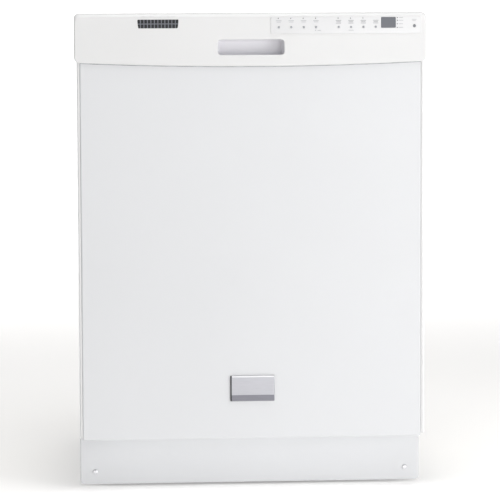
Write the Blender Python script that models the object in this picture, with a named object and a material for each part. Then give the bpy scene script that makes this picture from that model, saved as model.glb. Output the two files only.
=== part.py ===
"""Built in dishwasher, 24 in class: every casing, lever, wheel, button, rack and pump as its own solid.

Frame: metres, +Z up, the front faces -Y, the origin is on the floor under the middle of the machine.
Bodies that move hang on an empty placed on their joint's axis.
"""

import math

import bmesh
import bpy
import numpy as np

# Driving dimensions
WIDTH = 0.606
DEPTH = 0.635
HEIGHT = 0.828
SHEET = 0.0015
WALL = 0.003
GAP = 0.0003
MERGE = 0.00001

HALF = WIDTH / 2
FRONT = -DEPTH / 2
BACK = DEPTH / 2

# Door: a steel pan in front, a plastic console above it and a deep inner liner behind it
HINGE_Y = -0.272
HINGE_Z = 0.100
CONSOLE_FRONT = FRONT + 0.001
CONSOLE_BACK = -0.268
CONSOLE_END_Z = 0.744
CONSOLE_SAG = 0.0075
PANEL_FRONT = FRONT + 0.005
PANEL_BACK = -0.290
PANEL_HALF = 0.2995
PANEL_LOW = 0.0915
PANEL_HIGH = 0.752
LINER_HALF = 0.268
LINER_FRONT = -0.2895
LINER_BACK = -0.230
LINER_LOW = 0.0925
LINER_HIGH = 0.815

# Handle pocket and vent in the console
POCKET_WIDTH = 0.115
POCKET_LOW = 0.7554
POCKET_HIGH = 0.783
POCKET_BACK = -0.286
VENT_X = -0.1595
VENT_WIDTH = 0.072
VENT_LOW = 0.8015
VENT_HIGH = 0.818
VENT_COLUMNS = 12
VENT_ROWS = 2
VENT_BAR = 0.0018
VENT_INSET = 0.0006
VENT_DEPTH = 0.0028

# Controls
OVERLAY_LEFT = 0.034
OVERLAY_RIGHT = 0.293
OVERLAY_LOW = 0.792
OVERLAY_HIGH = 0.8265
OVERLAY_THICK = 0.0007
DISPLAY_X = 0.237
DISPLAY_WIDTH = 0.026
DISPLAY_LOW = 0.801
DISPLAY_HIGH = 0.820
BUTTON_PITCH = 0.0214
BUTTON_GROUPS = {"cycle": 0.048, "option": 0.151}
BUTTONS_EACH = 4
BUTTON_Z = 0.803
BUTTON_RADIUS = 0.00175
START_X = 0.282
START_Z = 0.8045
START_RADIUS = 0.0026

# Badge and toe kick
BADGE_WIDTH = 0.077
BADGE_LOW = 0.1565
BADGE_HIGH = 0.2015
BADGE_THICK = 0.0025
TOE_HALF = 0.2985
TOE_FRONT = -0.2535
TOE_DEPTH = 0.012
TOE_LOW = 0.005
TOE_HIGH = 0.089
TOE_SCREW_X = 0.2725
TOE_SCREW_Z = 0.027

# Tub: the wash chamber, its floor and the tracks that the lower rack rolls on
TUB_HALF = 0.262
TUB_WALL = 0.003
TUB_FLANGE_FRONT = -0.2245
TUB_FLANGE_HALF = 0.276
TUB_FLANGE_HIGH = 0.806
TUB_BACK = 0.302
TUB_LOW = 0.109
TUB_FLOOR = 0.112
TRACK_Z = 0.1425
TRACK_X = 0.2215
TUB_HIGH = 0.795
SEAL_OUT = 0.2675
SEAL_IN = 0.2630
SEAL_TOP = 0.7995
SEAL_UNDER = 0.7940
BLANKET = 0.010
BLANKET_FRONT = -0.215
BRACKET_TOP = HEIGHT - 0.003

# Base frame and feet
BASE_HALF = 0.276
BASE_FRONT = -0.215
BASE_WALL = 0.0025
BASE_LOW = 0.024
BASE_HIGH = 0.1085
BASE_TABS = {
    "foot ledge": ((0.232, 0.275), (-0.214, -0.142), (0.030, 0.034)),
    "rear skid": ((0.240, 0.275), (0.250, BACK - 0.001), (0.0, 0.032)),
    "hinge ear": ((0.270, 0.2865), (-0.283, -0.262), (0.0895, 0.107)),
    "ear arm": ((0.270, 0.281), (-0.263, -0.205), (0.0895, 0.107)),
    "spring hook": ((0.2745, 0.2885), (0.104, 0.110), (0.094, 0.106)),
    "toe kick tab": ((0.2625, 0.275), (-0.2410, -0.2130), (0.017, 0.037)),
}
HINGE_PIN = (0.286, 0.2975)
FOOT_X = 0.252
FOOT_Y = -0.176
FOOT_PAD = 0.016
FOOT_STEM = 0.005
FOOT_HIGH = 0.075

# Wash system, centred a little behind the middle
ARM_Y = 0.040
SUMP_HALF = 0.080
SUMP_FRONT = -0.140
SUMP_BACK = 0.110
FILTER_Y = -0.085
FILTER_RADIUS = 0.033
FLOAT_X = 0.190
FLOAT_Y = -0.190

# Racks
RACK_FRONT = -0.195
RACK_BACK = 0.268
RACK_BAR = 0.005
RACK_CELLS = (6, 6, 2)
LOWER_RACK_HALF = 0.2425
LOWER_RACK_LOW = 0.175
LOWER_RACK_HIGH = 0.305
WHEEL_RADIUS = 0.018
WHEEL_Z = TRACK_Z + WHEEL_RADIUS + 0.0005
WHEEL_IN = 0.2450
WHEEL_OUT = 0.2570
WHEEL_YS = {"front": -0.040, "rear": 0.200}
AXLE_RADIUS = 0.004
UPPER_RACK_HALF = 0.240
UPPER_RACK_LOW = 0.460
UPPER_RACK_HIGH = 0.575
RAIL_LOW = 0.500
RAIL_HIGH = 0.524
RAIL_FRONT = -0.210
RAIL_BACK = 0.262
BASKET_IN = 0.150
BASKET_OUT = 0.232
BASKET_FRONT = -0.100
BASKET_BACK = 0.200
BASKET_LOW = 0.1815
BASKET_HIGH = 0.300
BASKET_GRIP = 0.028

# Latch and dispenser
LATCH_Y = -0.272
LATCH_Z = 0.782
DISPENSER_HALF = 0.085
DISPENSER_LOW = 0.330
DISPENSER_HIGH = 0.440
DISPENSER_FACE = -0.2285
LID_LEFT = -0.080
LID_LOW = 0.343
LID_HIGH = 0.4075
LID_THICK = 0.002
CAP_X = 0.045
CAP_Z = 0.385

SIDES = {"left": -1, "right": 1}
AXIS_ORDER = {"x": (2, 0, 1), "y": (0, 2, 1), "z": (0, 1, 2)}


# ---------------------------------------------------------------- helpers


def linear(channel):
    """One sRGB channel, 0 to 1, as scene-linear light."""
    return channel / 12.92 if channel <= 0.04045 else ((channel + 0.055) / 1.055) ** 2.4


def material(name, hex_colour, roughness, metallic=0.0):
    """A Principled material with the finish's colour, roughness and metalness."""
    made = bpy.data.materials.new(name)
    made.use_nodes = True
    shader = made.node_tree.nodes["Principled BSDF"]
    channels = [int(hex_colour[i : i + 2], 16) / 255 for i in (0, 2, 4)]
    shader.inputs["Base Color"].default_value = (*[linear(c) for c in channels], 1.0)
    shader.inputs["Roughness"].default_value = roughness
    shader.inputs["Metallic"].default_value = metallic
    return made


def body(name, point, parent=None):
    """An empty on a joint's axis: the pieces of one moving body hang on it."""
    empty = bpy.data.objects.new(name + "_axis", None)
    bpy.context.scene.collection.objects.link(empty)
    offset = np.array(point) - (np.array(parent["point"]) if parent else 0.0)
    empty.location = offset
    empty["point"] = tuple(float(v) for v in point)
    if parent:
        empty.parent = parent
    return empty


def solid(name, verts, faces, finish=None, on=None):
    """One closed mesh object from world points, its faces turned outwards, hung on a body's empty."""
    point = np.array(on["point"]) if on else np.zeros(3)
    mesh = bpy.data.meshes.new(name)
    mesh.from_pydata((np.array(verts) - point).tolist(), [], faces)
    shape = bmesh.new()
    shape.from_mesh(mesh)
    bmesh.ops.recalc_face_normals(shape, faces=shape.faces)
    shape.to_mesh(mesh)
    shape.free()
    if finish:
        mesh.materials.append(finish)
    made = bpy.data.objects.new(name, mesh)
    bpy.context.scene.collection.objects.link(made)
    made.parent = on
    return made


def applied(target, modifier):
    """The object with its modifier evaluated into its mesh."""
    bpy.context.view_layer.update()
    graph = bpy.context.evaluated_depsgraph_get()
    result = bpy.data.meshes.new_from_object(target.evaluated_get(graph))
    target.modifiers.remove(modifier)
    target.data = result
    return target


def combine(target, operation, *shapes):
    """Boolean union or difference with each helper shape in turn; the helpers are then removed."""
    for verts, faces in shapes:
        helper = solid("helper", verts, faces)
        modifier = target.modifiers.new("combine", "BOOLEAN")
        modifier.operation = operation
        modifier.object = helper
        applied(target, modifier)
        bpy.data.objects.remove(helper)
    return target


def smooth(target, angle=35):
    """Shade round faces smooth and keep the edges sharp."""
    target.data.shade_smooth()
    target.data.set_sharp_from_angle(angle=math.radians(angle))
    return target


def block(low, high):
    """A box between two corners."""
    spans = tuple(zip(low, high))
    corners = [(x, y, z) for x in spans[0] for y in spans[1] for z in spans[2]]
    faces = [(0, 1, 3, 2), (4, 6, 7, 5), (0, 4, 5, 1), (2, 3, 7, 6), (0, 2, 6, 4), (1, 5, 7, 3)]
    return corners, faces


def prism(outline, axis, low, high):
    """An outline extruded along an axis. The outline's plane is (y, z), (x, z) or (x, y)."""
    order = AXIS_ORDER[axis]
    verts = []
    for level in (low, high):
        for first, second in outline:
            verts.append(tuple((first, second, level)[i] for i in order))
    count = len(outline)
    faces = [tuple(range(count)), tuple(range(2 * count - 1, count - 1, -1))]
    for i in range(count):
        following = (i + 1) % count
        faces.append((i, following, count + following, count + i))
    return verts, faces


def arc(centre, radius, start, end, steps):
    """Points on an arc, in degrees, both ends included."""
    angles = np.radians(np.linspace(start, end, steps + 1))
    return [(centre[0] + radius * math.cos(a), centre[1] + radius * math.sin(a)) for a in angles]


def rounded(left, right, low, high, radius, steps=3):
    """A rectangle's outline with round corners."""
    return (
        arc((right - radius, high - radius), radius, 0, 90, steps)
        + arc((left + radius, high - radius), radius, 90, 180, steps)
        + arc((left + radius, low + radius), radius, 180, 270, steps)
        + arc((right - radius, low + radius), radius, 270, 360, steps)
    )


def turned(profile, axis, centre, steps=16, ring=False):
    """A profile of (radius, height) points spun about an axis, capped or closed as a ring."""
    order = AXIS_ORDER[axis]
    verts = []
    for radius, height in profile:
        for k in range(steps):
            angle = 2 * math.pi * k / steps
            local = (radius * math.cos(angle), radius * math.sin(angle), height)
            verts.append(tuple(centre[j] + local[i] for j, i in enumerate(order)))
    faces = []
    spans = len(profile) if ring else len(profile) - 1
    for row in range(spans):
        below = row * steps
        above = ((row + 1) % len(profile)) * steps
        for k in range(steps):
            beside = (k + 1) % steps
            faces.append((below + k, below + beside, above + beside, above + k))
    if not ring:
        last = (len(profile) - 1) * steps
        faces.append(tuple(reversed(range(steps))))
        faces.append(tuple(range(last, last + steps)))
    return verts, faces


def rod(axis, centre, radius, low, high, steps=12):
    """A plain cylinder along an axis; low and high are measured from the centre point."""
    return turned([(radius, low), (radius, high)], axis, centre, steps)


def tube(path, radius, sides=8):
    """A round bar swept along a path of points."""
    path = np.array(path, float)
    tangents = np.gradient(path, axis=0)
    tangents /= np.linalg.norm(tangents, axis=1)[:, None]
    normal = np.cross(tangents[0], (0.31, 0.47, 0.83))
    verts = []
    for point, tangent in zip(path, tangents):
        normal = normal - tangent * normal.dot(tangent)
        normal /= np.linalg.norm(normal)
        across = np.cross(tangent, normal)
        for k in range(sides):
            angle = 2 * math.pi * k / sides
            verts.append(tuple(point + radius * (math.cos(angle) * normal + math.sin(angle) * across)))
    faces = [tuple(reversed(range(sides))), tuple(range(len(verts) - sides, len(verts)))]
    for row in range(len(path) - 1):
        for k in range(sides):
            beside = (k + 1) % sides
            a, b = row * sides, (row + 1) * sides
            faces.append((a + k, a + beside, b + beside, b + k))
    return verts, faces


def bar_lines(low, high, cells, bar):
    """Both edges of each bar across a span that the bars divide into equal cells."""
    centres = np.linspace(low + bar / 2, high - bar / 2, cells + 1)
    return [edge for centre in centres for edge in (centre - bar / 2, centre + bar / 2)]


def bar_panel(shape, lines, axes, level, origin):
    """Faces of one flat panel of crossing bars: every cell of the line grid but the openings."""
    first, second, fixed = axes
    for i in range(len(lines[0]) - 1):
        for j in range(len(lines[1]) - 1):
            if i % 2 and j % 2:
                continue
            corners = []
            for u, v in ((i, j), (i + 1, j), (i + 1, j + 1), (i, j + 1)):
                point = np.zeros(3)
                point[first] = lines[0][u]
                point[second] = lines[1][v]
                point[fixed] = level
                corners.append(shape.verts.new(point - origin))
            shape.faces.new(corners)


def barred(name, panels, thickness, offset, finish, on):
    """Panels of crossing bars joined along their edges and thickened into one solid."""
    shape = bmesh.new()
    for lines, axes, level in panels:
        bar_panel(shape, lines, axes, level, np.array(on["point"]))
    bmesh.ops.remove_doubles(shape, verts=shape.verts, dist=MERGE)
    bmesh.ops.recalc_face_normals(shape, faces=shape.faces)
    mesh = bpy.data.meshes.new(name)
    shape.to_mesh(mesh)
    shape.free()
    mesh.materials.append(finish)
    made = bpy.data.objects.new(name, mesh)
    bpy.context.scene.collection.objects.link(made)
    made.parent = on
    modifier = made.modifiers.new("thickness", "SOLIDIFY")
    modifier.thickness = thickness
    modifier.offset = offset
    modifier.use_even_offset = True
    return applied(made, modifier)


def crate(name, low, high, finish, on):
    """A wire rack, open at the top: a floor panel and four wall panels of square bars."""
    lines = [bar_lines(low[i], high[i], RACK_CELLS[i], RACK_BAR) for i in range(3)]
    panels = [((lines[0], lines[1]), (0, 1, 2), low[2])]
    for level in (low[1], high[1]):
        panels.append(((lines[0], lines[2]), (0, 2, 1), level))
    for level in (low[0], high[0]):
        panels.append(((lines[1], lines[2]), (1, 2, 0), level))
    return barred(name, panels, 0.8 * RACK_BAR, -1, finish, on)


# ---------------------------------------------------------------- base and cabinet


def make_base(metal):
    """Sheet ring under the tub with foot ledges, rear skids, hinge ears and their pins."""
    ring = rounded(-BASE_HALF, BASE_HALF, BASE_FRONT, BACK, 0.004, 1)
    base = solid("base_frame", *prism(ring, "z", BASE_LOW, BASE_HIGH), metal)
    inside = block(
        (-BASE_HALF + BASE_WALL, BASE_FRONT + BASE_WALL, 0.0),
        (BASE_HALF - BASE_WALL, BACK - BASE_WALL, BASE_HIGH + 0.01),
    )
    combine(base, "DIFFERENCE", inside)
    for side in SIDES.values():
        for x_span, y_span, z_span in BASE_TABS.values():
            near, far = sorted(side * x for x in x_span)
            combine(base, "UNION", block((near, y_span[0], z_span[0]), (far, y_span[1], z_span[1])))
        near, far = sorted(side * x for x in HINGE_PIN)
        combine(base, "UNION", rod("x", (0, HINGE_Y, HINGE_Z), AXLE_RADIUS, near, far))
        hole = rod("z", (side * FOOT_X, FOOT_Y, 0), FOOT_STEM + 0.0005, 0.02, 0.05)
        combine(base, "DIFFERENCE", hole)


def make_feet(plastic):
    """Front levelling legs: a pad and a threaded stem that winds down out of the ledge."""
    for label, side in SIDES.items():
        axis = body("foot_" + label, (side * FOOT_X, FOOT_Y, 0.0))
        profile = [(FOOT_PAD, 0.0), (FOOT_PAD, 0.005), (0.009, 0.012)]
        profile += [(FOOT_STEM, 0.012), (FOOT_STEM, FOOT_HIGH)]
        smooth(solid("foot_front_" + label, *turned(profile, "z", axis["point"], 12), plastic, axis))


def make_toe_kick(paint, metal):
    """Recessed panel under the door, a shallow pan, with its two screws."""
    outline = rounded(-TOE_HALF, TOE_HALF, TOE_LOW, TOE_HIGH, 0.006, 2)
    kick = solid("toe_kick", *prism(outline, "y", TOE_FRONT, TOE_FRONT + TOE_DEPTH), paint)
    inset = rounded(
        -TOE_HALF + SHEET, TOE_HALF - SHEET, TOE_LOW + SHEET, TOE_HIGH - SHEET, 0.0045, 2
    )
    combine(kick, "DIFFERENCE", prism(inset, "y", TOE_FRONT + SHEET, TOE_FRONT + 0.05))
    for label, side in SIDES.items():
        centre = (side * TOE_SCREW_X, TOE_FRONT, TOE_SCREW_Z)
        combine(kick, "DIFFERENCE", rod("y", centre, 0.0026, -0.01, 0.01))
        profile = [(0.0023, 0.011), (0.0023, -GAP), (0.0046, -GAP)]
        profile += [(0.0040, -0.0016), (0.0022, -0.0022)]
        smooth(solid("toe_kick_screw_" + label, *turned(profile, "y", centre, 12), metal))


def make_tub(steel, rubber, zinc, fibre):
    """Wash chamber with its front flange, floor well and tracks, its seal and its insulation."""
    shell = solid(
        "tub",
        *block(
            (-TUB_HALF - TUB_WALL, TUB_FLANGE_FRONT + 0.001, TUB_LOW),
            (TUB_HALF + TUB_WALL, TUB_BACK, TUB_HIGH),
        ),
        steel,
    )
    flange = block(
        (-TUB_FLANGE_HALF, TUB_FLANGE_FRONT, TUB_LOW),
        (TUB_FLANGE_HALF, TUB_FLANGE_FRONT + TUB_WALL, TUB_FLANGE_HIGH),
    )
    back = TUB_BACK - TUB_WALL
    ceiling = TUB_HIGH - TUB_WALL
    chamber = arc((TUB_HALF - 0.012, ceiling - 0.012), 0.012, 0, 90, 3)
    chamber += arc((-TUB_HALF + 0.012, ceiling - 0.012), 0.012, 90, 180, 3)
    chamber += [(-TUB_HALF, TRACK_Z), (TUB_HALF, TRACK_Z)]
    well = block(
        (-TRACK_X, TUB_FLANGE_FRONT + TUB_WALL, TUB_FLOOR),
        (TRACK_X, back - 0.004, TRACK_Z + 0.02),
    )
    hole = block(
        (-SUMP_HALF - GAP, SUMP_FRONT - GAP, 0.0),
        (SUMP_HALF + GAP, SUMP_BACK + GAP, TUB_FLOOR + 0.01),
    )
    combine(shell, "UNION", flange)
    combine(shell, "DIFFERENCE", prism(chamber, "y", TUB_FLANGE_FRONT - 0.01, back), well, hole)

    foot = TRACK_Z + 0.002
    outline = [(-SEAL_OUT, foot), (-SEAL_OUT, SEAL_TOP), (SEAL_OUT, SEAL_TOP), (SEAL_OUT, foot)]
    outline += [(SEAL_IN, foot), (SEAL_IN, SEAL_UNDER), (-SEAL_IN, SEAL_UNDER), (-SEAL_IN, foot)]
    solid("tub_gasket", *prism(outline, "y", LINER_BACK + 0.0005, TUB_FLANGE_FRONT - GAP), rubber)

    inner = TUB_HALF + TUB_WALL + 0.0005
    wrap = solid(
        "tub_blanket",
        *block(
            (-inner - BLANKET, BLANKET_FRONT, TUB_FLOOR),
            (inner + BLANKET, TUB_BACK + 0.0005 + BLANKET, TUB_HIGH + 0.0005 + BLANKET),
        ),
        fibre,
    )
    hollow = block((-inner, -0.4, 0.0), (inner, TUB_BACK + 0.0005, TUB_HIGH + 0.0005))
    combine(wrap, "DIFFERENCE", hollow)

    lip = [(-0.252, 0.793), (-0.249, 0.793), (-0.249, 0.7995), (-0.228, 0.7995), (-0.228, 0.8005)]
    lip += [(TUB_FLANGE_FRONT - GAP, 0.8005), (TUB_FLANGE_FRONT - GAP, 0.8055), (-0.2265, 0.8055)]
    lip += [(-0.2265, 0.803), (-0.252, 0.803)]
    solid("door_strike", *prism(lip, "x", -0.018, 0.018), zinc)


def make_brackets(zinc):
    """Angle brackets behind the flange whose top tabs screw up into a worktop."""
    front = TUB_FLANGE_FRONT + TUB_WALL + GAP
    foot, under = TUB_HIGH + 0.001, BRACKET_TOP - 0.002
    outline = [(front, foot), (front + 0.002, foot), (front + 0.002, under)]
    outline += [(-0.180, under), (-0.180, BRACKET_TOP), (front, BRACKET_TOP)]
    for label, side in SIDES.items():
        near, far = sorted((side * 0.205, side * 0.245))
        bracket = solid("bracket_" + label, *prism(outline, "x", near, far), zinc)
        hole = rod("z", (side * 0.225, -0.188, BRACKET_TOP), 0.0025, -0.01, 0.01)
        combine(bracket, "DIFFERENCE", hole)


# ---------------------------------------------------------------- wash system


def make_sump(plastic, enamel, dark):
    """Sump with its filter bore and spray post, the wash motor and the drain pump beside it."""
    outline = rounded(-SUMP_HALF, SUMP_HALF, SUMP_FRONT, SUMP_BACK, 0.0005, 1)
    sump = solid("sump", *prism(outline, "z", 0.047, TUB_FLOOR + 0.002), plastic)
    combine(sump, "UNION", rod("z", (0, ARM_Y, 0), 0.012, 0.100, 0.1455, 16))
    combine(sump, "DIFFERENCE", rod("z", (0, FILTER_Y, 0), FILTER_RADIUS + 0.001, 0.056, 0.2, 24))
    profile = [(0.020, 0.0), (0.036, 0.008), (0.036, 0.085)]
    profile += [(0.030, 0.095), (0.012, 0.098), (0.012, 0.112)]
    centre = (SUMP_HALF + GAP, 0.010, 0.070)
    smooth(solid("wash_motor", *turned(profile, "x", centre, 18), enamel))
    profile = [(0.030, 0.0), (0.030, 0.022), (0.024, 0.026), (0.024, 0.075), (0.015, 0.080)]
    profile = [(radius, -height) for radius, height in profile]
    centre = (-SUMP_HALF - GAP, -0.030, 0.076)
    pump = solid("drain_pump", *turned(profile, "x", centre, 16), dark)
    combine(pump, "UNION", rod("y", (-SUMP_HALF - 0.012, -0.030, 0.076), 0.009, 0.010, 0.075, 12))
    smooth(pump)


def make_services(enamel, zinc):
    """Water inlet valve at the front left and the wiring box at the front right."""
    valve = solid("inlet_valve", *block((-0.225, -0.185, 0.056), (-0.175, -0.145, 0.090)), enamel)
    socket = [(0.008, 0.018), (0.008, 0.0), (0.011, 0.0), (0.011, 0.024)]
    inlet = turned(socket, "z", (-0.212, -0.165, 0.036), 12)
    combine(valve, "UNION", inlet, rod("z", (-0.187, -0.165, 0.0), 0.012, 0.044, 0.100, 12))
    smooth(valve)
    box = solid("junction_box", *block((0.140, -0.205, 0.040), (0.215, -0.135, 0.098)), zinc)
    combine(box, "DIFFERENCE", block((0.142, -0.203, 0.042), (0.213, -0.137, 0.12)))
    combine(box, "DIFFERENCE", rod("x", (0.215, -0.170, 0.066), 0.011, -0.01, 0.01, 16))


def bend(corner, before, after, radius, steps=4):
    """Points of a round bend at a corner, from the run before it to the run after it."""
    corner, before, after = (np.array(p, float) for p in (corner, before, after))
    start = corner + radius * (before - corner) / np.linalg.norm(before - corner)
    end = corner + radius * (after - corner) / np.linalg.norm(after - corner)
    weights = np.linspace(0, 1, steps + 1)
    return [(1 - w) ** 2 * start + 2 * w * (1 - w) * corner + w * w * end for w in weights]


def route(corners, radius):
    """A path through corner points with each inner corner bent round."""
    path = [np.array(corners[0], float)]
    for before, corner, after in zip(corners, corners[1:], corners[2:]):
        path += bend(corner, before, after, radius)
    return path + [np.array(corners[-1], float)]


def make_floor_pieces(steel, plastic, white):
    """Heating element, feed tube, lower spray arm, float and filter cup on the tub floor."""
    low, half, front, rear = 0.122, 0.200, -0.152, 0.240
    corners = [(-0.030, rear, low), (-half, rear, low), (-half, front, low)]
    corners += [(half, front, low), (half, rear, low), (0.030, rear, low)]
    smooth(solid("heating_element", *tube(route(corners, 0.045), 0.0035, 8), steel))

    corners = [(0, SUMP_BACK + 0.004, 0.126), (0, 0.2855, 0.126)]
    corners += [(0, 0.2855, 0.4565), (0, 0.2725, 0.4565)]
    path = [corners[0], *bend(*(corners[i] for i in (1, 0, 2)), 0.020)]
    path += [*bend(*(corners[i] for i in (2, 1, 3)), 0.011), corners[3]]
    smooth(solid("spray_feed_tube", *tube(path, 0.009, 10), white))

    arm_axis = body("lower_spray_arm", (0, ARM_Y, 0.150))
    make_arm("lower_spray_arm", 0.200, 0.1480, 0.1600, (0.1465, 0.166), plastic, arm_axis)

    float_axis = body("float", (FLOAT_X, FLOAT_Y, TUB_FLOOR))
    profile = [(0.006, 0.001), (0.006, 0.012), (0.021, 0.012)]
    profile += [(0.021, 0.030), (0.016, 0.035), (0.006, 0.037)]
    centre = (FLOAT_X, FLOAT_Y, TUB_FLOOR)
    smooth(solid("float", *turned(profile, "z", centre, 16), white, float_axis))

    filter_axis = body("filter_cup", (0, FILTER_Y, TUB_FLOOR))
    profile = [(FILTER_RADIUS, 0.060), (FILTER_RADIUS, 0.128), (FILTER_RADIUS - 0.004, 0.132)]
    cup = solid("filter_cup", *turned(profile, "z", (0, FILTER_Y, 0), 20), plastic, filter_axis)
    handle = [(x, y + FILTER_Y) for x, y in rounded(-0.024, 0.024, -0.003, 0.003, 0.0028, 2)]
    combine(cup, "UNION", prism(handle, "z", 0.128, 0.141))


def make_arm(name, reach, low, high, hub, finish, axis, centre=(0, ARM_Y)):
    """A spray arm: a flat blade with round ends and a round hub, free to turn."""
    blade = arc((reach - 0.016, 0), 0.016, -90, 90, 6) + [(0.0, 0.026)]
    blade += arc((-reach + 0.016, 0), 0.016, 90, 270, 6) + [(0.0, -0.026)]
    outline = [(x + centre[0], y + centre[1]) for x, y in blade]
    made = solid(name, *prism(outline, "z", low, high), finish, axis)
    combine(made, "UNION", rod("z", (*centre, 0), 0.024, *hub, 16))


# ---------------------------------------------------------------- door


def console_outline(inset=0.0, open_below=False):
    """The console's front outline: round upper corners, and a lower edge that bows down."""
    half = HALF - inset
    top = HEIGHT - inset
    points = arc((half - 0.008, top - 0.008), 0.008, 0, 90, 3)
    points += arc((-half + 0.008, top - 0.008), 0.008, 90, 180, 3)
    if open_below:
        return points + [(-half, PANEL_LOW), (half, PANEL_LOW)]
    points += arc((-half + 0.008, CONSOLE_END_Z + 0.008), 0.008, 180, 235, 2)
    for step in range(-5, 6):
        share = step / 6
        points.append((half * share, CONSOLE_END_Z - CONSOLE_SAG * (1 - share**2)))
    return points + arc((half - 0.008, CONSOLE_END_Z + 0.008), 0.008, 305, 360, 2)


def button_places():
    """Name, x, z and radius of every push button."""
    places = []
    for group, start in BUTTON_GROUPS.items():
        for i in range(BUTTONS_EACH):
            x = start + i * BUTTON_PITCH
            places.append((f"button_{group}_{i + 1}", x, BUTTON_Z, BUTTON_RADIUS))
    return places + [("button_start", START_X, START_Z, START_RADIUS)]


def make_console(door, white, grey, overlay_finish, glass, dark):
    """Control console with its handle cup, vent grille, control overlay, display and nine buttons."""
    front, back = CONSOLE_FRONT, CONSOLE_BACK
    console = solid("console", *prism(console_outline(), "y", front, back), white, door)
    inside = prism(console_outline(WALL, True), "y", front + WALL, back + 0.05)
    pocket = rounded(-POCKET_WIDTH / 2, POCKET_WIDTH / 2, POCKET_LOW, POCKET_HIGH, 0.005, 2)
    vent = block(
        (VENT_X - VENT_WIDTH / 2 - GAP, front - 0.01, VENT_LOW - GAP),
        (VENT_X + VENT_WIDTH / 2 + GAP, front + 0.01, VENT_HIGH + GAP),
    )
    cuts = [inside, prism(pocket, "y", front - 0.01, front + 0.01), vent]
    for _, x, z, radius in button_places():
        cuts.append(rod("y", (x, front, z), radius + GAP, -0.005, 0.005, 10))
    combine(console, "DIFFERENCE", *cuts)

    cup_outline = rounded(-0.0605, 0.0605, POCKET_LOW - 0.0028, POCKET_HIGH + 0.0030, 0.006, 2)
    cup = solid("handle_cup", *prism(cup_outline, "y", front + WALL + 0.0005, POCKET_BACK), grey, door)
    hollow = rounded(-0.0580, 0.0580, POCKET_LOW - 0.0006, POCKET_HIGH + 0.0006, 0.005, 2)
    combine(cup, "DIFFERENCE", prism(hollow, "y", front, POCKET_BACK - 0.002))

    make_grille(door, dark)

    low, high = OVERLAY_LOW, OVERLAY_HIGH
    plate = rounded(OVERLAY_LEFT, OVERLAY_RIGHT, low, high, 0.003, 2)
    overlay = solid(
        "control_overlay",
        *prism(plate, "y", front - GAP - OVERLAY_THICK + 0.0001, front - 0.0002),
        overlay_finish,
        door,
    )
    window = block(
        (DISPLAY_X - DISPLAY_WIDTH / 2, front - 0.01, DISPLAY_LOW),
        (DISPLAY_X + DISPLAY_WIDTH / 2, front + 0.01, DISPLAY_HIGH),
    )
    cuts = [window]
    for _, x, z, radius in button_places():
        cuts.append(rod("y", (x, front, z), radius + GAP, -0.005, 0.005, 10))
    combine(overlay, "DIFFERENCE", *cuts)
    pane = rounded(
        DISPLAY_X - DISPLAY_WIDTH / 2 + GAP,
        DISPLAY_X + DISPLAY_WIDTH / 2 - GAP,
        DISPLAY_LOW + GAP,
        DISPLAY_HIGH - GAP,
        0.001,
        1,
    )
    solid("display_lens", *prism(pane, "y", front - 0.0009, front - 0.0002), glass, door)

    for name, x, z, radius in button_places():
        axis = body(name, (x, FRONT, z), door)
        collar = radius + 0.0013
        profile = [(radius * 0.8, 0.0), (radius, 0.0004), (radius, WALL + 0.0016)]
        profile += [(collar, WALL + 0.0016), (collar, WALL + 0.0032)]
        smooth(solid(name, *turned(profile, "y", (x, FRONT, z), 12), grey, axis))


def make_grille(door, dark):
    """Vent insert: upright slots in two rows, set through the console's front wall."""
    columns = bar_lines(VENT_X - VENT_WIDTH / 2, VENT_X + VENT_WIDTH / 2, VENT_COLUMNS, VENT_BAR)
    rows = bar_lines(VENT_LOW, VENT_HIGH, VENT_ROWS, VENT_BAR)
    panel = ((columns, rows), (0, 2, 1), CONSOLE_FRONT + VENT_INSET)
    barred("vent_grille", [panel], VENT_DEPTH, 0, dark, door)


def make_door_shells(door, white, liner_white, silver):
    """Outer steel pan, inner liner with the dispenser opening and the latch slot, and the badge."""
    outline = rounded(-PANEL_HALF, PANEL_HALF, PANEL_LOW, PANEL_HIGH, 0.002, 1)
    panel = solid("door_panel", *prism(outline, "y", PANEL_FRONT, PANEL_BACK), white, door)
    hollow = block(
        (-PANEL_HALF + SHEET, PANEL_FRONT + SHEET, PANEL_LOW + SHEET),
        (PANEL_HALF - SHEET, PANEL_BACK + 0.05, PANEL_HIGH - SHEET),
    )
    combine(panel, "DIFFERENCE", hollow)

    outline = rounded(-LINER_HALF, LINER_HALF, LINER_LOW, LINER_HIGH, 0.010, 3)
    liner = solid("door_liner", *prism(outline, "y", LINER_FRONT, LINER_BACK), liner_white, door)
    inner = rounded(
        -LINER_HALF + 0.0025, LINER_HALF - 0.0025, LINER_LOW + 0.0025, LINER_HIGH - 0.0025, 0.0075, 3
    )
    hollow = prism(inner, "y", LINER_FRONT - 0.05, LINER_BACK - 0.0025)
    window = block(
        (-DISPENSER_HALF - GAP, -0.27, DISPENSER_LOW - GAP),
        (DISPENSER_HALF + GAP, -0.2, DISPENSER_HIGH + GAP),
    )
    slot = block((-0.022, -0.25, 0.785), (0.022, -0.2, LINER_HIGH + 0.01))
    combine(liner, "DIFFERENCE", hollow, window, slot)

    outline = rounded(-BADGE_WIDTH / 2, BADGE_WIDTH / 2, BADGE_LOW, BADGE_HIGH, 0.002, 1)
    badge_back = PANEL_FRONT - GAP
    solid("badge", *prism(outline, "y", badge_back - BADGE_THICK, badge_back), silver, door)


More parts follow.
